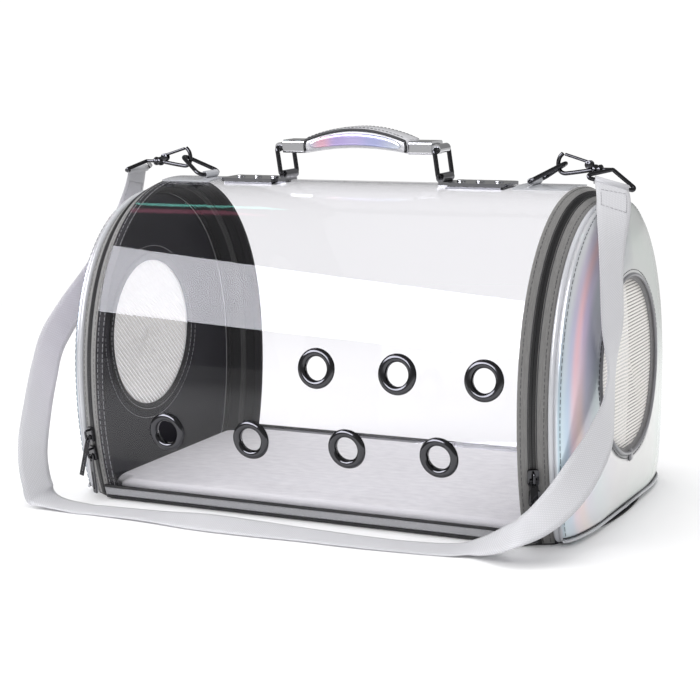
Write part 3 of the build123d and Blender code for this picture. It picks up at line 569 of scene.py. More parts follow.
def iridescent(name, roughness=0.22, film=420.0):
    """Silver film: its stored tint, which on the doors also holds a painted dark reflection, is streaked by
    slow noise, and a thin clear layer colours its shine.
    """
    material, tree, shader = new_material(name)
    own_place = coordinates(tree)
    tint = add(tree, "ShaderNodeAttribute", {}, attribute_name="tint")
    drift = noise(tree, 14.0, 3.0, own_place)
    vivid = add(tree, "ShaderNodeHueSaturation", {"Color": tint.outputs["Color"],
                                                  "Saturation": spread(tree, drift, 0.75, 1.3)})
    feed(tree, shader, {
        "Base Color": vivid.outputs["Color"], "Metallic": 0.35, "Roughness": roughness,
        "Thin Film Thickness": work_out(tree, "MULTIPLY_ADD", drift, 260.0, film), "Thin Film IOR": 1.4,
        "Coat Weight": 0.4, "Coat Roughness": 0.1})
    set_bump(tree, shader, noise(tree, 24.0, 4.0, own_place), 0.12, 1.5)
    return material


def clear_sheet(name, shine=0.028, edge_shine=0.55):
    """Thin clear sheet: see-through, with mirror-like reflections that grow at a slant."""
    material, tree, shader = new_material(name)
    tree.nodes.remove(shader)
    through = add(tree, "ShaderNodeBsdfTransparent", {"Color": (0.982, 0.980, 0.988, 1)})
    gloss = add(tree, "ShaderNodeBsdfGlossy", {"Roughness": 0.012})
    slant = add(tree, "ShaderNodeLayerWeight", {"Blend": 0.5})
    steep = work_out(tree, "POWER", slant.outputs["Facing"], 5.0)
    set_bump(tree, gloss, noise(tree, 7.0, 1.0), 0.04, 0.4)
    share = work_out(tree, "MULTIPLY_ADD", steep, edge_shine, shine)
    blend_shaders(tree, share, through.outputs["BSDF"], gloss.outputs["BSDF"])
    return material


def net(name, thread, pitch, direction):
    """Knitted mesh: thick ribs one way and fine threads across, with open holes between them."""
    material, tree, shader = new_material(name)
    ribs = wave(tree, scaled_place(tree, (1000 / pitch,) * 3), direction, 0.314)
    threads = wave(tree, scaled_place(tree, (3200 / pitch,) * 3), "Y", 0.314)
    knit = work_out(tree, "MULTIPLY_ADD", threads, 0.35, ribs)
    feed(tree, shader, {"Base Color": ramp(tree, knit, [(0.25, darker(thread, 0.42)), (0.75, thread)]),
                        "Roughness": 0.75})
    through = add(tree, "ShaderNodeBsdfTransparent", {})
    set_bump(tree, shader, knit, 0.4, 0.4)
    filled = work_out(tree, "GREATER_THAN", knit, 0.30)
    blend_shaders(tree, filled, through.outputs["BSDF"], shader.outputs["BSDF"])
    return material


def ribbed_webbing(name, colour):
    """Strap webbing: ribs along its length with a fine cross weave, from the strap's own coordinates."""
    material, tree, shader = new_material(name)
    vector = scaled_place(tree, (2 * STRAP_HALF_WIDTH, 1000, 1), "UV")
    ribs = wave(tree, vector, "X", 0.28)
    cross = work_out(tree, "MULTIPLY", ribs, wave(tree, vector, "DIAGONAL", 0.33, 0.5))
    feed(tree, shader, {"Base Color": ramp(tree, cross, [(0.0, darker(colour, 0.80)), (0.6, colour)]),
                        "Roughness": 0.48, "Sheen Weight": 0.35})
    set_bump(tree, shader, cross, 0.4, 0.35)
    return material


# Tints of the iridescent film, by the share of the way from a door's rim to its window; the upper tints also
# hold a painted dark reflection
UPPER_TINTS_AND_REFLECTION = [
    (0.00, (0.74, 0.74, 0.77)), (0.10, (0.50, 0.52, 0.56)), (0.22, (0.72, 0.74, 0.77)),
    (0.36, (0.62, 0.56, 0.74)), (0.46, (0.90, 0.52, 0.58)), (0.56, (0.62, 0.54, 0.80)),
    # Painted reflection: the dark blue-grey stops at 0.68 and 0.80 stand for a dark reflection on the door's
    # front top
    (0.68, (0.36, 0.38, 0.50)), (0.80, (0.30, 0.32, 0.42)), (0.92, (0.62, 0.64, 0.70)),
    (1.00, (0.70, 0.71, 0.74)),
]
LOWER_TINTS = [
    (0.00, (0.70, 0.71, 0.74)), (0.10, (0.40, 0.52, 0.62)), (0.20, (0.60, 0.72, 0.80)),
    (0.34, (0.50, 0.64, 0.78)), (0.46, (0.82, 0.62, 0.68)), (0.56, (0.88, 0.66, 0.62)),
    (0.68, (0.68, 0.66, 0.80)), (0.84, (0.62, 0.72, 0.78)), (1.00, (0.68, 0.69, 0.73)),
]
REAR_TINTS = [
    (0.00, (0.70, 0.71, 0.73)), (0.20, (0.66, 0.70, 0.69)), (0.45, (0.74, 0.76, 0.76)),
    (0.70, (0.70, 0.74, 0.73)), (1.00, (0.72, 0.73, 0.74)),
]
# Tints of the grip's panels, along them
INLAY_TINTS = [
    (0.00, (0.56, 0.56, 0.66)), (0.14, (0.80, 0.48, 0.58)), (0.30, (0.52, 0.44, 0.74)),
    (0.50, (0.56, 0.50, 0.80)), (0.70, (0.46, 0.48, 0.76)), (1.00, (0.62, 0.66, 0.74)),
]

# Places of the film's tints round a door, as shares of the way: the middle and half width of the front part,
# where the painted dark reflection lies, the power by which it fades, and where the lower tints take over and
# over how much
FILM_FRONT, FILM_FRONT_HALF, FILM_FRONT_FADE = 0.30, 0.22, 0.6
FILM_LOWER, FILM_LOWER_SPAN = 0.36, 0.12

clear = clear_sheet("Clear_sheet")
pearl_film = iridescent("Iridescent_film")
inlay_film = iridescent("Inlay_film", 0.12, 500.0)
silver_cloth = leatherette("Silver_coated_cloth", (0.34, 0.34, 0.36), 0.38)
silver_tab = leatherette("Silver_tab", (0.50, 0.51, 0.54), 0.22, 1.6, 0.1, 0.6)
pearl_piping = leatherette("Pearl_piping", (0.56, 0.57, 0.60), 0.25, 2.0, 0.06, 0.6)
grip_coat = leatherette("Grip_coating", (0.64, 0.64, 0.67), 0.25, 1.3, 0.15, 0.6)
black_cord = woven("Black_cord", (0.016, 0.016, 0.018), (0.005, 0.005, 0.006), 0.8, 0.45, 0.0)
underside = woven("Underside_cloth", (0.040, 0.040, 0.045), (0.02, 0.02, 0.022), 1.2, 0.7, 0.0)
tape_cloth = woven("Zip_tape", (0.235, 0.23, 0.225), (0.12, 0.118, 0.115), 0.7, 0.75)
coil_plastic = leatherette("Coil_plastic", (0.020, 0.020, 0.022), 0.35, 0.8, 0.1, 0.1)
lining_cloth = woven("Door_lining", (0.011, 0.010, 0.017), (0.009, 0.008, 0.014), 1.1, 0.55, 0.0, 0.0, 0.2)
# Painted shade: near-black cloth for the faces of tapes and piping that turn to the shaded inside
inside_shade_cloth = woven("Painted_inside_shade", (0.012, 0.011, 0.014), (0.009, 0.009, 0.010), 0.9, 0.7, 0.0, 0.05, 0.15)
sleeve_cloth = woven("Sleeve_cloth", (0.020, 0.019, 0.023), (0.015, 0.014, 0.016), 0.9, 0.7, 0.0, 0.08, 0.2)
binding_cloth = woven("Window_edging", (0.022, 0.021, 0.025), (0.009, 0.009, 0.010), 0.9, 0.6, 0.0)
bead_cloth = leatherette("Window_bead", (0.22, 0.22, 0.235), 0.3, 1.4, 0.1, 0.5)
pocket_cloth = woven("Window_pocket", (0.24, 0.235, 0.24), (0.12, 0.118, 0.12), 1.0, 0.7)
pad_cloth = woven("Pad_cloth", (0.86, 0.85, 0.87), (0.70, 0.69, 0.72), 1.3, 0.8, 0.3, 0.2)
board_plastic = leatherette("Board_plastic", (0.12, 0.12, 0.13), 0.5)
foam_rubber = leatherette("Foam", (0.45, 0.45, 0.46), 0.8, 2.0, 0.3, 0.0)
thread_light = woven("Thread_light", (0.42, 0.42, 0.44), (0.30, 0.30, 0.32), 0.3, 0.5)
thread_dark = woven("Thread_dark", (0.05, 0.05, 0.055), (0.02, 0.02, 0.022), 0.3, 0.5, 0.0)
gunmetal = metal("Gunmetal", (0.070, 0.070, 0.075), 0.13)
silver_metal = metal("Silver_metal", (0.68, 0.68, 0.70), 0.12)
plate_metal = metal("Plate_metal", (0.25, 0.25, 0.265), 0.12)
spring_steel = metal("Spring_steel", (0.55, 0.56, 0.58), 0.25)
window_nets = {"right": net("Window_net_right", (0.93, 0.90, 0.87), 2.5, "Z"),
               "left": net("Window_net_left", (0.94, 0.92, 0.89), 2.3, "DIAGONAL")}
strap_webbing = ribbed_webbing("Strap_webbing", (0.63, 0.63, 0.66))

NODE_MATERIALS = {
    "base_cover": underside, "base_board": board_plastic, "clear_shell": clear, "front_cords": black_cord,
    "rear_cords": black_cord, "eyelet_washers": gunmetal, "backing_plates": gunmetal,
    "handle_rivets": silver_metal, "link": gunmetal, "grip_core": spring_steel, "handle_plate": plate_metal,
    "handle_end": silver_metal, "ring_tab": silver_tab, "strap_ring": gunmetal, "hook_gate": gunmetal,
    "strap_eye": gunmetal, "lower_slider": gunmetal, "upper_slider": gunmetal, "lower_pull": gunmetal,
    "upper_pull": gunmetal,
}


def paint_nodes():
    """Give each carried-over CAD node its material."""
    for name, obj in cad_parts.items():
        material = NODE_MATERIALS.get(name.removeprefix("left_").removeprefix("right_"))
        if material is not None:
            obj.data.materials.clear()
            obj.data.materials.append(material)


# Doors

# The door's layers under its skin: depth of the middle, thickness, window, slot and material
DOOR_LAYERS = (
    ("foam", FOAM_DEPTH, FOAM, OUTER_WINDOW, "foam", foam_rubber),
    ("lining", LINING_DEPTH + LINING / 2, LINING, INNER_WINDOW, "door_lining", lining_cloth),
)

# Sewn rings round the windows: opening, distance outside its edge, depth and thread
WINDOW_SEAMS = (
    ("outer", OUTER_WINDOW, 3.4, -LIFT, thread_dark), ("inner", INNER_WINDOW, 2.6, WALL + 1.15, thread_light),
    ("lining", INNER_WINDOW, 10.0, WALL + LIFT, thread_light),
)


def mirrored(points, side):
    return [(side * x, y, z) for x, y, z in points]


def shifted(ring, out):
    return [(x + out, y, z) for x, y, z in ring]


def dome_row(share, depth, rise):
    """One ring of the dome's wall at a share of the way from shoulder to cap."""
    turn = radians(CAP_ANGLE * share)
    out_x = sin(turn) / rise
    out_side = cos(turn) / DOME_SPAN
    length = sqrt(out_x ** 2 + out_side ** 2)
    x = SHOULDER_X + rise * sin(turn) - depth * out_x / length
    drawn_in = FLAT_DRAW_IN * (DOME_RISE["right"] - rise) * (1 - share)
    inset = SHOULDER_INSET + drawn_in + DOME_SPAN * (1 - cos(turn)) + depth * out_side / length
    corner = SHOULDER_CORNER + (CAP_CORNER - SHOULDER_CORNER) * share
    foot_z = DOOR_FOOT_Z + depth + CAP_FLOOR_RISE * share ** 3
    return [(x, y, z) for y, z in door_ring(inset, foot_z, corner)]


def window_ring(window, grow, depth, rise):
    """A ring on the crowned cap, at a distance outside (+) or inside (-) a window's edge."""
    ring = []
    for x, y, z in dome_row(1, depth, rise):
        angle = atan2((z - WINDOW_Z) / window[1], y / window[0])
        ring_y = (window[0] + grow) * cos(angle)
        ring_z = WINDOW_Z + (window[1] + grow) * sin(angle)
        short = sqrt((y - ring_y) ** 2 + (z - ring_z) ** 2) / DOME_SPAN
        crown = acos(max(0.0, cos(radians(CAP_ANGLE)) - short))
        ring.append((SHOULDER_X + rise * sin(crown) - depth, ring_y, ring_z))
    return ring


def dome_rows(depth, rise, window):
    """Rings from the door's rim to its window, at a depth under the outside."""
    rows = [[(RIM_X, y, z) for y, z in door_ring(RIM_INSET + depth, DOOR_FOOT_Z + depth, RIM_CORNER)]]
    rows += [dome_row(i / DOME_ROWS, depth, rise) for i in range(DOME_ROWS + 1)]
    edge = rows[-1]
    opening = window_ring(window, 0, depth, rise)
    return rows + [[between(p, q, share) for p, q in zip(edge, opening)] for share in CAP_SHARES]


def along_stops(stops, at):
    """The colour at one place of a list of (place, colour)."""
    for (low, a), (high, b) in zip(stops, stops[1:]):
        if at <= high:
            t = max(0.0, (at - low) / (high - low))
            return between(a, b, t * t * (3 - 2 * t))
    return stops[-1][1]


def film_tint_and_reflection(inward, around):
    """Tint of the film with its painted dark reflection, by its place: inward from rim to window, around from
    the foot by way of the front.
    """
    front = max(0.0, 1 - abs(around - FILM_FRONT) / FILM_FRONT_HALF) ** FILM_FRONT_FADE
    lower = max(0.0, min(1.0, (FILM_LOWER - around) / FILM_LOWER_SPAN))
    tint = between(along_stops(UPPER_TINTS_AND_REFLECTION, inward), along_stops(LOWER_TINTS, inward), lower)
    return between(along_stops(REAR_TINTS, inward), tint, front)


def store_tints(obj, tints):
    """Store the film's tint on each point of a piece."""
    layer = obj.data.color_attributes.new("tint", "FLOAT_COLOR", "POINT")
    for i, tint in enumerate(tints):
        layer.data[i].color = (*tint, 1)


def ring_tube(name, side, rows_at, radius, sides=10):
    """Round cord whose rings come from a function of (out, grow)."""
    rows = [mirrored(rows_at(radius * s, radius * c), side) for c, s in circle(sides)]
    return grid(name, rows, closed_stack=True)


def paint_inside_shade(obj, strips, first, last):
    """Painted shade: near-black cloth on some of the strips that a swept piece is made of, those that face the
    inside, where shade falls.
    """
    obj.data.materials.append(inside_shade_cloth)
    length = len(obj.data.polygons) // strips
    for face in obj.data.polygons[first * length:last * length]:
        face.material_index = 1


def build_skin(word, side, rise):
    rows = dome_rows(SKIN / 2, rise, OUTER_WINDOW)
    skin = grid(f"{word}_dome_skin", [mirrored(row, side) for row in rows])
    last = DOME_ROWS + len(CAP_SHARES)
    # The stored tints include the painted dark reflection on the door's front top
    store_tints(skin, [film_tint_and_reflection(min(1.0, r / last), c / RING_POINTS)
                       for r in range(len(rows)) for c in range(RING_POINTS)])
    place(thicken(skin, SKIN), f"{word}_door", "iridescent_skin", pearl_film, f"{word}_door_skin")


def build_window(word, side, rise):
    """Bead outside, pocket wall, net and inner edging."""
    body = f"{word}_door"
    node = f"{word}_mesh_binding"

    def bead_ring(out, grow):
        return shifted(window_ring(OUTER_WINDOW, grow, 0, rise), out + BEAD_OUT)

    place(ring_tube(f"{word}_window_bead", side, bead_ring, BEAD_R), body, "mesh_binding", bead_cloth, node)
    rows = [mirrored(window_ring(*ring, rise), side) for ring in POCKET]
    place(thicken(grid(f"{word}_window_pocket", rows), POCKET_WALL), body, "mesh_binding", pocket_cloth, node)
    rows = [mirrored(window_ring(INNER_WINDOW, grow, depth, rise), side) for grow, depth in EDGING]
    edging = grid(f"{word}_window_edging", rows, closed_stack=True)
    place(edging, body, "mesh_binding", binding_cloth, node)
    edge = window_ring(NET_EDGE, 0, NET_DEPTH, rise)
    rows = [[(side * (x + NET_CROWN * (1 - share ** 2)), y * share, WINDOW_Z + (z - WINDOW_Z) * share)
             for x, y, z in edge] for share in NET_SHARES]
    mesh = thicken(close_middle(grid(f"{word}_window_net", rows), RING_POINTS), NET)
    place(mesh, body, "window_mesh", window_nets[word], f"{word}_window_mesh")
    lowest = window_ring(OUTER_WINDOW, 0, 0, rise)[0]
    out, across, up = JOINT_SHIFT
    joint_at = (side * (lowest[0] + out), across, lowest[2] + up)
    joint = soft_box(f"{word}_window_joint", joint_at, JOINT_SIZE, JOINT_EDGE)
    place(joint, body, "mesh_binding", bead_cloth)
    for name, window, grow, depth, thread in WINDOW_SEAMS:
        ring = mirrored(window_ring(window, grow, depth, rise), side)
        seam = sewn(f"{word}_{name}_window_stitches", ring + ring[:1], WINDOW_STITCH, 3)
        place(seam, body, "mesh_binding", thread)


def build_rim(word, side, rise):
    """Piping round the rim, the seam beside it and the bead along the door's foot."""
    body = f"{word}_door"
    inset = BAND_DROP - PIPING_OUT + PIPING_R

    def rim_ring(out, grow):
        ring = door_ring(inset - grow, DOOR_FOOT_Z + PIPING_R - grow, RIM_CORNER + grow / 2)
        return [(PIPING_X + PIPING_R + out, y, z) for y, z in ring]

    piping = ring_tube(f"{word}_rim_piping", side, rim_ring, PIPING_R, PIPING_SIDES)
    place(piping, body, "white_piping", pearl_piping, f"{word}_door_piping")
    # Painted shade on the piping's inward half
    paint_inside_shade(piping, PIPING_SIDES, PIPING_SIDES // 4, 3 * PIPING_SIDES // 4)
    ring = mirrored(shifted(dome_row(RIM_SEAM_SHARE, 0, rise), LIFT), side)
    place(sewn(f"{word}_rim_stitches", ring + ring[:1], RIM_STITCH, 4), body, "silver_trim", thread_dark)
    path = []
    for i in range(FOOT_BEAD_STEPS + 1):
        ring = dome_row(FOOT_BEAD_SHARE * i / FOOT_BEAD_STEPS, 0, rise)
        path.append(next(p for p in reversed(ring[RING_POINTS // 2:]) if p[2] >= FOOT_BEAD_Z))
    path += [(x, -y, z) for x, y, z in reversed(path)]
    for (name, radius, up), material in zip(FOOT_LINES, (pearl_piping, thread_dark)):
        out = FOOT_BEAD_OUT - FOOT_LEAN * up
        line = [(side * (x + out), y, FOOT_BEAD_Z - FOOT_BEAD_DROP + up) for x, y, z in path]
        place(link_mesh(f"{word}_{name}", *tube(line, radius, BEAD_SIDES)), body, "white_piping", material)


def sweep_arch(name, side, profile, foot_z):
    """A strip along the arch, from a closed profile of (x, distance outward from the sheet or band)."""
    rows = [[(side * x, y, z) for y, z in arch(band_inset(x) - out, foot_z, ARCH_STEPS + 1)]
            for x, out in profile]
    return grid(name, rows, closed_rows=False, closed_stack=True)


def ribbon_profile(x0, x1, top, thickness, crown=0.12):
    """A flat ribbon's profile with soft edges and a slightly crowned face."""
    inset = min(RIBBON_EDGE_MOST, thickness * RIBBON_EDGE)
    shares = [i / RIBBON_STEPS for i in range(RIBBON_STEPS + 1)]
    upper = [(x0 + inset + (x1 - x0 - 2 * inset) * share, top + crown * sin(pi * share)) for share in shares]
    lower = [(x, top - thickness) for x, out in reversed(upper)]
    low_edge, high_edge = top - thickness * RIBBON_EDGE_LOW, top - inset * RIBBON_EDGE_HIGH
    return [(x0, low_edge), (x0, high_edge)] + upper + [(x1, high_edge), (x1, low_edge)] + lower


def coil_teeth(name, side, x, foot_z):
    """Teeth of one half of a zip, riding on its coil along the slanting band."""
    line = arch(band_inset(x), foot_z, TOOTH_POINTS)
    wide, long, high = TOOTH_HALF
    parts = []
    for i in range(TOOTH_STEP, len(line) - TOOTH_STEP, TOOTH_STEP):
        (ay, az), (y, z), (by, bz) = line[i - 1:i + 2]
        along = Vector((0, by - ay, bz - az)).normalized()
        out = Vector((1, 0, 0)).cross(along).normalized()
        if out.dot(Vector((0, y, z - ARCH_WIDEST_Z))) < 0:
            out = -out
        across = (Vector((BAND_LENGTH, 0, 0)) - out * BAND_DROP).normalized()
        centre = Vector((x, y, z)) + out * TOOTH_OUT
        corners = [centre + across * sx * (TOOTH_FOOT if so < 0 else wide) + along * sa * long
                   + out * so * high for sx in (-1, 1) for sa in (-1, 1) for so in (-1, 1)]
        parts.append(([Vector((side * c.x, c.y, c.z)) for c in corners], TOOTH_FACES))
    return link_mesh(name, *gather(parts), smooth=False)


def sewn_line(name, side, x, foot_z, lift=LIFT):
    """A line of stitches along the arch, at one place across it."""
    line = [(side * x, y, z) for y, z in arch(band_inset(x) - lift, foot_z, SEWN_POINTS)]
    return link_mesh(name, *stitch_line(line, *TAPE_STITCH))


def build_zip_half(name, side, body, node, way, x0, x1, foot_z):
    """One half of a zip: its tape, a thin dark cord beside the coil, a row of teeth and a sewn line."""
    tape = sweep_arch(f"{name}_tape", side, ribbon_profile(x0, x1, 0, TAPE), foot_z)
    place(tape, body, "zip_tape", tape_cloth, node)
    # Painted shade on the tape's underside, which faces the inside
    paint_inside_shade(tape, RIBBON_STRIPS, RIBBON_STEPS + 4, RIBBON_STRIPS)
    foot_z += 1
    cord_x = SPLIT_X + way * SEAM_CORD_AT
    inset = band_inset(cord_x) - SEAM_CORD_LIFT
    line = [(side * cord_x, y, z) for y, z in arch(inset, foot_z, CORD_POINTS)]
    place(link_mesh(f"{name}_band_seam", *tube(line, SEAM_CORD_R, 6)), body, "zip_tape", thread_dark)
    place(coil_teeth(f"{name}_teeth", side, SPLIT_X + way * TEETH_AT, foot_z), body, "zip_coil", coil_plastic)
    stitches = sewn_line(f"{name}_tape_stitches", side, SPLIT_X + way * SEWN_AT, foot_z)
    place(stitches, body, "zip_tape", thread_dark)


def build_doors():
    for word, side in SIDES:
        body = f"{word}_door"
        rise = DOME_RISE[word]
        build_skin(word, side, rise)
        for layer, depth, thickness, window, slot, material in DOOR_LAYERS:
            rows = [mirrored(row, side) for row in dome_rows(depth, rise, window)]
            sheet = thicken(grid(f"{word}_dome_{layer}", rows), thickness)
            place(sheet, body, slot, material, f"{word}_door_{layer}")
        build_window(word, side, rise)
        build_rim(word, side, rise)
        build_zip_half(body, side, body, f"{word}_door_zip_tape", 1, SPLIT_X + COIL_WIDTH + SEAM, BAND_END_X,
                       DOOR_FOOT_Z)


def build_body_zips():
    """The zip halves on the body, and the hoops in their sleeves under the ends of the sheet."""
    for word, side in SIDES:
        build_zip_half(f"{word}_body", side, "body", "body_zip_tapes", -1, SHELL_HALF + SEAM,
                       SPLIT_X - COIL_WIDTH - SEAM, FOOT_Z)
        low_x = SLEEVE_FROM[word]
        high_x = low_x + SLEEVE_WIDTH
        under_tape = low_x > SHELL_HALF
        top = (-TAPE if under_tape else -SHEET) - SEAM
        cloth = ribbon_profile(low_x, high_x, top, SLEEVE, 0.0)
        sleeve = sweep_arch(f"{word}_hoop_sleeve", side, cloth, FOOT_Z)
        place(sleeve, "body", "zip_tape", sleeve_cloth, "hoop_sleeves")
        wire = ribbon_profile(low_x + HOOP_MARGIN, high_x - HOOP_MARGIN, top - (SLEEVE - HOOP) / 2, HOOP, 0.0)
        hoop = sweep_arch(f"{word}_hoop", side, wire, FOOT_Z + 1)
        place(hoop, "body", "spring_steel", spring_steel, "hoop_wires")
        if under_tape:
            continue
        # A sleeve that is seen through the sheet has its two sewn lines
        for number, at in enumerate(SLEEVE_SEAMS):
            name = f"{word}_sleeve_stitches_{number}"
            stitches = sewn_line(name, side, low_x + at, FOOT_Z + 1, SLEEVE_SEAM_LIFT)
            place(stitches, "body", "zip_tape", thread_light)


# Body

EYELETS = [(x, 116.9) for x in (17.9, 81.2, 146.2)] + [(x, 60.4) for x in (-108.6, -36.9, 41.1, 112.3)]
EYELET_PROFILE = (
    (8.8, -2.6), (8.6, -0.5), (8.9, 1.2), (10.0, 2.2), (11.6, 2.5), (13.2, 2.1), (14.3, 1.1), (14.7, 0.1),
    (13.4, -0.1), (10.3, -0.3), (10.0, -2.6),
)
EYELET_SIDES = 48
EYELET_LIFT = 0.1
TRIM_STEPS = 8
TRIM_SWELL = 0.12
TRIM_EDGE_DROP = 0.3
TRIM_BACK = ((0.06, TRIM_HIGH - 0.2), (0.06, TRIM_LOW + 0.2))
TRIM_SPANS = 60
TRIM_SEAMS = (4.4, 8.6)
TRIM_SEAM_LIFT = 0.14
TRIM_SEAM_STEP = 0.5


def build_eyelets():
    """Rolled metal rings in the clear sheet."""
    parts = []
    for x, z in EYELETS:
        slope = half_width(z + 0.5) - half_width(z - 0.5)
        out = Vector((0, -1, -slope)).normalized()
        level = Vector((1, 0, 0))
        up = out.cross(level).normalized()
        centre = Vector((x, -half_width(z), z))
        rows = [ring_round(centre + out * (height + EYELET_LIFT), level, up, radius, EYELET_SIDES)
                for radius, height in EYELET_PROFILE]
        parts.append(stack(rows, closed_stack=True))
    place(link_mesh("vent_eyelets", *gather(parts)), "body", "dark_metal", gunmetal, "eyelets")


def build_trims():
    """Silver strips along the foot of the sheet, with two sewn lines each."""
    for word, sign in (("front", -1), ("rear", 1)):
        profile = []
        for i in range(TRIM_STEPS + 1):
            z = TRIM_LOW + (TRIM_HIGH - TRIM_LOW) * i / TRIM_STEPS
            lift = TRIM_SWELL if 0 < i < TRIM_STEPS else -TRIM_EDGE_DROP
            profile.append((half_width(z) + TRIM + lift, z))
        profile += [(half_width(z) + out, z) for out, z in TRIM_BACK]
        rows = [[(-TRIM_HALF + 2 * TRIM_HALF * i / TRIM_SPANS, sign * y, z) for i in range(TRIM_SPANS + 1)]
                for y, z in profile]
        strip = grid(f"{word}_strip", rows, closed_rows=False, closed_stack=True)
        place(strip, "body", "silver_trim", silver_cloth, f"{word}_trim")
        parts = []
        for z in TRIM_SEAMS:
            y = sign * (half_width(z) + TRIM + TRIM_SEAM_LIFT)
            count = int(2 * SHELL_HALF / TRIM_SEAM_STEP) + 1
            line = [(i * TRIM_SEAM_STEP - SHELL_HALF, y, z) for i in range(count)]
            parts.append(stitch_line(line, *TRIM_STITCH))
        place(link_mesh(f"{word}_trim_stitches", *gather(parts)), "body", "silver_trim", thread_light)


# Floor pad, in millimetres

PAD_HALF = 183.5
PAD_HALF_WIDTH = 102.5
PAD_LOW = 4.6
PAD_HIGH = 12.2
PAD_CORNER = 14.0
PAD_GRAIN = 4.2
PAD_SHARE = 0.9              # how much of the simulated swelling is kept
PAD_MARGIN = 0.4
PAD_MARGIN_UP = 0.2
PAD_SEAM_INSET = 9.0
PAD_SEAM_WIDTH = 3.0
PAD_SEAM_DEPTH = 1.6
PAD_SEAM_ABOVE = 8.0
SWELL_PRESSURE = 3.0
SWELL_FRAMES = 12
SWELL_CAP = 3.0


def kept_in(value, low, high):
    return max(low, min(high, value))


def build_pad():
    """Floor pad: swelled by cloth simulation, then its sewn edge channel is pressed in."""
    low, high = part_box("floor_pad")
    mesh = bpy.data.meshes.new("pad_start")
    work = bmesh.new()
    bmesh.ops.create_cube(work, size=1)
    for v in work.verts:
        z = PAD_HIGH if v.co.z > 0 else PAD_LOW
        v.co = Vector((v.co.x * 2 * PAD_HALF, v.co.y * 2 * PAD_HALF_WIDTH, z)) * MM
    upright = [e for e in work.edges if abs(e.verts[0].co.z - e.verts[1].co.z) > 1 * MM]
    bmesh.ops.bevel(work, geom=upright, offset=PAD_CORNER * MM, segments=4, affect="EDGES")
    close_work(work, mesh, False)
    pad = link_object("padded_floor", mesh)
    remesh = pad.modifiers.new("Even", "REMESH")
    remesh.mode = "VOXEL"
    remesh.voxel_size = PAD_GRAIN * MM
    bake(pad)
    start = [v.co.copy() for v in pad.data.vertices]
    swell(pad, start)
    margin, margin_up = PAD_MARGIN * MM, PAD_MARGIN_UP * MM
    for vert, rest in zip(pad.data.vertices, start):
        vert.co = rest + (vert.co - rest) * PAD_SHARE
        vert.co.x = kept_in(vert.co.x, low.x + margin, high.x - margin)
        vert.co.y = kept_in(vert.co.y, low.y + margin, high.y - margin)
        edge = min(PAD_HALF * MM - abs(vert.co.x), PAD_HALF_WIDTH * MM - abs(vert.co.y))
        press = max(0.0, 1 - abs(edge - PAD_SEAM_INSET * MM) / (PAD_SEAM_WIDTH * MM))
        if vert.co.z > PAD_SEAM_ABOVE * MM:
            vert.co.z -= PAD_SEAM_DEPTH * MM * press
        vert.co.z = kept_in(vert.co.z, low.z + margin_up, high.z - margin_up)
    for face in pad.data.polygons:
        face.use_smooth = True
    pad.modifiers.new("Smooth", "SUBSURF").render_levels = 1
    place(pad, "body", "pad", pad_cloth, "floor_pad")


def swell(obj, start):
    """Fill a piece with pressure for a few frames and keep the shape, within a cap."""
    scene = bpy.context.scene
    cloth = obj.modifiers.new("Swell", "CLOTH")
    cloth.settings.use_pressure = True
    cloth.settings.uniform_pressure_force = SWELL_PRESSURE
    cloth.settings.effector_weights.gravity = 0
    cloth.settings.quality = 4
    for number in range(1, SWELL_FRAMES + 1):
        scene.frame_set(number)
    bake(obj)
    cap = SWELL_CAP * MM
    for vert, rest in zip(obj.data.vertices, start):
        move = vert.co - rest
        if move.length > cap:
            vert.co = rest + move * (cap / move.length)
    scene.frame_set(1)


# Grip, in millimetres

GRIP_HALF = 43.5
GRIP_HALF_WIDTH = 12.4
GRIP_LIFT = 4.0
GRIP_END_HEIGHT = 11.5
GRIP_CROWN = 9.0
GRIP_STEPS = 40
GRIP_SIDES = 28
GRIP_GAP = 0.1
SIDE_ROUNDNESS = 0.5
TOP_ROUNDNESS = 0.7
EDGING_R = 1.05
EDGING_REACH = GRIP_HALF - 2.0
EDGING_IN = 0.45
EDGING_DROP = 2.1
EDGING_END_OUT = 0.3
EDGING_END = ((-0.6, 0.15), (-1.0, 0.35), (-1.0, 0.6), (-0.6, 0.85))
GRIP_SEAM_IN = 3.2
GRIP_SEAM_UP = 1.75
PANEL_HALF = 38.5
PANEL_COLUMNS = 40
PANEL_ROWS = 6
PANEL_MIDDLE = 0.44
PANEL_HEIGHT = 0.54
PANEL_SWELL = 0.4
PANEL_CORNER = 9
PANEL = 0.3


def bent(value, power):
    """A cosine or sine raised to a power with its sign kept, for a squarer or rounder outline."""
    return abs(value) ** power * (1 if value > 0 else -1)


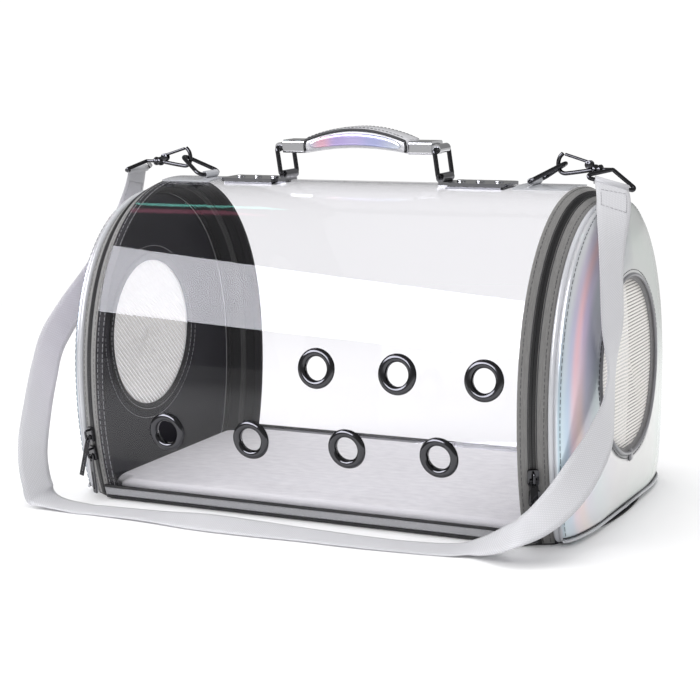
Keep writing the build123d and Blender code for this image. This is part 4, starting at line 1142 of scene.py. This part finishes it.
def build_grip():
    """Padded cover of the grip, its black edging loops and its two shiny panels."""
    low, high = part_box("grip_cover")
    middle_x = (low.x + high.x) / 2 / MM
    foot = low.z / MM + GRIP_GAP

    def heights(x):
        arc = 1 - ((x - middle_x) / GRIP_HALF) ** 2
        return foot + GRIP_LIFT * arc, foot + GRIP_END_HEIGHT + GRIP_CROWN * arc

    def stations(reach, count):
        """Places along the grip, with its underside and top at each."""
        places = [middle_x + (i / count * 2 - 1) * reach for i in range(count + 1)]
        return [(x, *heights(x)) for x in places]

    rows = [[Vector((x, GRIP_HALF_WIDTH * bent(c, SIDE_ROUNDNESS),
                     (top + bottom) / 2 + (top - bottom) / 2 * bent(s, TOP_ROUNDNESS)))
             for c, s in circle(GRIP_SIDES)] for x, bottom, top in stations(GRIP_HALF - GRIP_GAP, GRIP_STEPS)]
    cover = grid("grip_padding", rows, caps=True)
    place(cover, "grip", "grip_cover", grip_coat, "grip_cover")

    loops, seams = [], []
    for side in (-1, 1):
        y = side * (GRIP_HALF_WIDTH - EDGING_IN)
        line = [Vector((x, y, top - EDGING_DROP)) for x, bottom, top in stations(EDGING_REACH, GRIP_STEPS)]
        first, last = line[0], line[-1]
        height = first.z - heights(first.x)[0]
        out = side * EDGING_END_OUT
        start = [first + Vector((a, out, -b * height)) for a, b in reversed(EDGING_END)]
        end = [last + Vector((-a, out, -b * height)) for a, b in EDGING_END]
        loops.append(tube(start + line + end, EDGING_R, BEAD_SIDES))
        seam = [p + Vector((0, -side * GRIP_SEAM_IN, GRIP_SEAM_UP)) for p in line]
        seams.append(stitch_line(fine(seam, 8), *GRIP_STITCH))
    place(link_mesh("grip_edging", *gather(loops)), "grip", "black_cord", black_cord)
    place(link_mesh("grip_stitches", *gather(seams)), "grip", "grip_cover", thread_dark)

    parts = []
    for side in (-1, 1):
        rows = []
        for r in range(PANEL_ROWS + 1):
            y = side * (GRIP_HALF_WIDTH + GRIP_GAP + PANEL_SWELL * sin(pi * r / PANEL_ROWS))
            row = []
            for x, bottom, top in stations(PANEL_HALF, PANEL_COLUMNS):
                shrink = sqrt(max(0.0, 1 - abs((x - middle_x) / PANEL_HALF) ** PANEL_CORNER))
                height = PANEL_MIDDLE + (r / PANEL_ROWS - 0.5) * PANEL_HEIGHT * shrink
                row.append(Vector((x, y, bottom + height * (top - bottom))))
            rows.append(row)
        parts.append(stack(rows, closed_rows=False))
    panels = link_mesh("grip_panels", *gather(parts))
    row_tints = [along_stops(INLAY_TINTS, c / PANEL_COLUMNS) for c in range(PANEL_COLUMNS + 1)]
    store_tints(panels, row_tints * (2 * (PANEL_ROWS + 1)))
    place(thicken(panels, PANEL), "grip", "inlay", inlay_film, "grip_inlays")


# Snap hooks, in millimetres

HOOK_BOW = ((182.0, 250.9), (174.0, 249.6), (165.0, 248.3), (159.0, 247.9), (155.8, 250.4), (154.9, 254.6),
            (156.0, 259.2), (158.6, 262.2))
HOOK_WIRE_R = 1.55
BOW_STEPS = 6
BOW_SIDES = 12
SWIVEL_Z = 251.2
SWIVEL_PROFILE = ((180.4, 0.4), (180.6, 2.4), (181.6, 3.3), (183.2, 3.6), (184.6, 3.3), (185.2, 2.7),
                  (185.8, 3.3), (187.4, 3.5), (188.3, 3.0), (188.5, 1.6))
CHEEK_X, CHEEK_Z = 178.6, 254.4
CHEEK_PROFILE = ((1.35, 2.9), (1.5, 3.1), (2.0, 3.1), (2.15, 2.9))


def build_hooks():
    """Cast hooks: a round bow, a swivel barrel and two round cheeks that hold the gate."""
    for word, side in SIDES:
        bow = [Vector((side * x, 0, z)) for x, z in HOOK_BOW]
        line = [curve_through(bow, i / BOW_STEPS) for i in range((len(bow) - 1) * BOW_STEPS + 1)]
        parts = [tube(line, HOOK_WIRE_R, BOW_SIDES),
                 turned(SWIVEL_PROFILE, lambda at, a, b: (side * at, a, SWIVEL_Z + b))]
        for way in (-1, 1):
            parts.append(turned(CHEEK_PROFILE, lambda at, a, b: (side * (CHEEK_X + a), way * at, CHEEK_Z + b)))
        place(link_mesh(f"{word}_cast_hook", *gather(parts)), "body", "dark_metal", gunmetal, f"{word}_hook")


# Shoulder strap: its course from the left eye to the right one, as a point and the way its width lies

STRAP_COURSE = (
    ((-205.5, 0, 244.6), (0, 1, 0)),
    ((-209, -4, 224), (0.05, 0.97, -0.20)),
    ((-216, -17, 193), (0.15, 0.88, -0.40)),
    ((-226, -38, 162), (0.22, 0.78, -0.58)),
    ((-234, -62, 137), (0.28, 0.68, -0.68)),
    ((-241.6, -77.5, 114), (0.34, 0.60, -0.72)),
    ((-238.5, -95, 92), (0.43, 0.69, -0.58)),
    ((-231.5, -116, 66), (0.45, 0.75, -0.45)),
    ((-218.5, -142, 41), (0.50, 0.80, -0.30)),
    ((-211, -149, 18), (0.48, 0.86, -0.15)),
    ((-204, -148, 5), (0.50, 0.86, -0.05)),
    ((-172, -148, 1), (0.10, 0.99, 0)),
    ((-154, -147, 1), (0, 1, 0)),
    ((-108, -148.5, 2), (0, 1, 0.04)),
    ((-62, -153, 3.5), (-0.10, 0.97, 0.20)),
    ((-21, -152.5, 3), (0, 0.98, 0.16)),
    ((18, -150, 2), (0, 1, 0.08)),
    ((58, -149.5, 1.6), (0, 1, 0.04)),
    ((95, -147, 1.2), (0, 1, 0.02)),
    ((130, -143, 1.8), (-0.15, 0.98, 0.07)),
    ((149, -141, 6.6), (-0.26, 0.95, 0.16)),
    ((177, -152, 19), (-0.48, 0.80, 0.36)),
    ((192.5, -144, 28), (-0.62, 0.58, 0.53)),
    ((204, -128, 41), (-0.70, 0.28, 0.66)),
    ((212, -110, 57), (-0.68, -0.20, 0.70)),
    ((218, -92, 75), (-0.46, -0.74, 0.49)),
    ((219, -77, 94), (-0.05, -0.98, 0.20)),
    ((218, -67, 119), (0.10, -0.99, 0)),
    ((218, -66, 152), (-0.30, -0.95, 0.05)),
    ((215.5, -61, 186), (-0.35, -0.92, 0.15)),
    ((211, -47, 211), (-0.50, -0.83, 0.20)),
    ((204, -22, 231), (-0.85, -0.45, 0.25)),
    ((197, -6.2, 241.2), (-0.86, -0.42, 0.29)),
)
STRAP_SPAN_STEPS = 10
STRAP_ACROSS_STEPS = 6
STRAP_EDGE = 0.45            # the webbing's edges are this share of its thickness
STRAP_LOWEST = 0.15
SLEEVE_R = 2.95
SLEEVE_BORE_R = 1.55
BOX_FROM, BOX_TO = 9.0, 30.0  # where the sewn box lies, from each end of the webbing
BOX_SIDES = (-0.75, 0.75)
BOX_LIFT = 0.1


def build_strap():
    """Webbing with thickness, its sewn sleeves round both eyes and their box stitching."""
    places = [Vector(p) for p, way in STRAP_COURSE]
    ways = [Vector(way).normalized() for p, way in STRAP_COURSE]
    turns = [i / STRAP_SPAN_STEPS for i in range((len(places) - 1) * STRAP_SPAN_STEPS + 1)]
    line = [curve_through(places, t) for t in turns]
    rows, uvs, stations = [], [], []
    length = 0.0
    for i, (t, point) in enumerate(zip(turns, line)):
        along = (line[min(len(line) - 1, i + 1)] - line[max(0, i - 1)]).normalized()
        way = curve_through(ways, t)
        way = (way - along * way.dot(along)).normalized()
        normal = along.cross(way)
        if i:
            length += (point - line[i - 1]).length
        stations.append((point, way, normal, length))
        row = []
        for face in (1, -1):
            for k in range(STRAP_ACROSS_STEPS + 1):
                s = (k / STRAP_ACROSS_STEPS * 2 - 1) * face
                share = 1 if abs(s) < 1 else STRAP_EDGE
                row.append(point + way * STRAP_HALF_WIDTH * s + normal * face * STRAP / 2 * share)
                uvs.append((s * 0.5 + 0.5, length * MM))
        rows.append(row)
    verts, faces = stack(rows, caps=True)
    strap = link_mesh("webbing_strap", [(x, y, max(STRAP_LOWEST, z)) for x, y, z in verts], faces, uvs)
    place(strap, "body", "webbing", strap_webbing, "shoulder_strap")

    ends = [(places[i], ways[i] * STRAP_HALF_WIDTH) for i in (0, -1)]
    verts, faces = gather([open_tube(p - half, p + half, SLEEVE_R, SLEEVE_BORE_R) for p, half in ends])
    sleeve = link_mesh("strap_sleeves", verts, faces, [(0.5, v.z * MM) for v in verts])
    place(sleeve, "body", "webbing", strap_webbing)

    def sewn_at(station, s, face):
        point, way, normal = station[:3]
        return point + way * STRAP_HALF_WIDTH * s + normal * face * (STRAP / 2 + BOX_LIFT)

    boxes = []
    for picks in ([f for f in stations if BOX_FROM < f[3] < BOX_TO],
                  [f for f in stations if BOX_FROM < length - f[3] < BOX_TO]):
        for face in (1, -1):
            for s in BOX_SIDES:
                boxes.append(stitch_line(fine([sewn_at(f, s, face) for f in picks], 8), *STRAP_STITCH))
            for f in (picks[0], picks[-1]):
                boxes.append(stitch_line(fine([sewn_at(f, s, face) for s in BOX_SIDES], 40), *STRAP_STITCH))
    stitches = link_mesh("strap_stitches", *gather(boxes))
    place(stitches, "body", "webbing", thread_light)


# Camera, floor and light, in metres

CAMERA_AT = (0.6030, -1.2439, 0.3585)
CAMERA_YAW = radians(26.4655)
CAMERA_DOWN = radians(10.2572)
CAMERA_ROLL = radians(-1.1332)
CAMERA_LENS = 93.24
FLOOR_HALF = 6.0
FLOOR_FADE = (0.45, 1.1)
FLOOR_GLOW = 1.02
FLOOR_SHINE = 0.6
ROOM_SEEN = 1.1
ROOM_LIGHT = 0.85
ROOM_SHINE = 0.28

# Lamps: name, place, the way it shines, the way its width lies, width, height and watts
SOFT_LAMPS = (
    ("key_panel", (0.25, -2.0, 1.9), (-0.1, 0.75, -0.65), (1, 0, 0), 1.8, 0.8, 12),
    ("top_panel", (0, 0.2, 2.3), (0, 0, -1), (1, 0, 0), 2.0, 1.6, 20),
    ("left_fill", (-1.8, -0.9, 0.8), (0.85, 0.45, -0.3), (0.4, -0.85, 0), 1.2, 0.8, 15),
)

# Lamps that are seen mirrored in the clear sheet, all turned alike: the long softbox across its upper front,
# and two narrow coloured panels that draw thin lines near its top.
# Name, place, width, height, watts and colour
MIRROR_WAY = (0.555, 0.616, -0.559)
MIRROR_ALONG = (-0.677, 0.725, 0.127)
MIRRORED_LAMPS = (
    ("band_softbox", (-0.549, -1.058, 0.763), 1.6, 0.653, 35, (0.93, 0.93, 1.0)),
    ("green_line", (-1.241, 0.675, 1.985), 0.16, 0.32, 0.85, (0.25, 0.85, 0.72)),
    ("red_line", (-1.105, 0.323, 1.732), 0.20, 0.32, 0.36, (0.9, 0.25, 0.4)),
)


def set_camera():
    data = bpy.data.cameras.new("View")
    data.lens = CAMERA_LENS
    data.sensor_width = 36.0
    camera = link_object("View", data)
    level = cos(CAMERA_DOWN)
    ahead = Vector((-sin(CAMERA_YAW) * level, cos(CAMERA_YAW) * level, -sin(CAMERA_DOWN)))
    right = Vector((cos(CAMERA_YAW), sin(CAMERA_YAW), 0))
    up = right.cross(ahead)
    level_right = right * cos(CAMERA_ROLL) + up * sin(CAMERA_ROLL)
    level_up = up * cos(CAMERA_ROLL) - right * sin(CAMERA_ROLL)
    turn = Matrix((level_right, level_up, -ahead)).transposed()
    camera.matrix_world = Matrix.Translation(CAMERA_AT) @ turn.to_4x4()
    bpy.context.scene.camera = camera


def switch(tree, share, first, second):
    """The second of two values where a share is 1."""
    return add(tree, "ShaderNodeMix", {0: share, 2: first, 3: second}).outputs[0]


def set_floor():
    """A pale floor that fades into the white of the room."""
    mesh = bpy.data.meshes.new("floor")
    corners = [(x * FLOOR_HALF, y * FLOOR_HALF, 0) for x, y in ((-1, -1), (1, -1), (1, 1), (-1, 1))]
    mesh.from_pydata(corners, [], [(0, 1, 2, 3)])
    floor = link_object("floor", mesh)
    material, tree, shader = new_material("Floor_white")
    feed(tree, shader, {"Base Color": (0.94, 0.94, 0.945, 1), "Roughness": 0.6, "Specular IOR Level": 0.1})
    distance = add(tree, "ShaderNodeVectorMath", {0: coordinates(tree)}, operation="LENGTH")
    near, far = FLOOR_FADE
    fade_span = {"Value": distance.outputs["Value"], "From Min": near, "From Max": far}
    fade = add(tree, "ShaderNodeMapRange", fade_span, interpolation_type="SMOOTHSTEP")
    path = tree.nodes.new("ShaderNodeLightPath")
    strength = switch(tree, path.outputs["Is Glossy Ray"], FLOOR_GLOW, FLOOR_SHINE)
    glow = add(tree, "ShaderNodeEmission", {"Strength": strength})
    blend_shaders(tree, fade.outputs["Result"], shader.outputs["BSDF"], glow.outputs["Emission"])
    floor.data.materials.append(material)


def set_room():
    """White surroundings as seen, softer in reflections so that dark linings stay dark."""
    world = bpy.data.worlds.new("Studio")
    bpy.context.scene.world = world
    world.use_nodes = True
    tree = world.node_tree
    path = tree.nodes.new("ShaderNodeLightPath")
    light = switch(tree, path.outputs["Is Glossy Ray"], ROOM_LIGHT, ROOM_SHINE)
    feed(tree, tree.nodes["Background"], {
        "Color": (1, 1, 1, 1), "Strength": switch(tree, path.outputs["Is Camera Ray"], light, ROOM_SEEN)})


def add_lamp(name, at, towards, along, width, height, power):
    """A rectangular lamp that shines towards a direction, with its width laid along another."""
    light = bpy.data.lights.new(name, "AREA")
    light.shape = "RECTANGLE"
    light.size = width
    light.size_y = height
    light.energy = power
    obj = link_object(name, light)
    z = -Vector(towards).normalized()
    x = Vector(along)
    x = (x - z * x.dot(z)).normalized()
    turn = Matrix((x, z.cross(x), z)).transposed()
    obj.matrix_world = Matrix.Translation(at) @ turn.to_4x4()
    return obj


def set_light():
    set_room()
    for lamp in SOFT_LAMPS:
        add_lamp(*lamp).visible_glossy = False
    for name, at, width, height, power, colour in MIRRORED_LAMPS:
        lamp = add_lamp(name, at, MIRROR_WAY, MIRROR_ALONG, width, height, power)
        lamp.data.color = colour
        lamp.visible_diffuse = False


paint_nodes()
build_doors()
build_body_zips()
build_eyelets()
build_trims()
build_pad()
build_grip()
build_hooks()
build_strap()
set_camera()
set_floor()
set_light()
bpy.context.scene.view_settings.view_transform = "Standard"
bpy.context.scene.cycles.transparent_max_bounces = 24
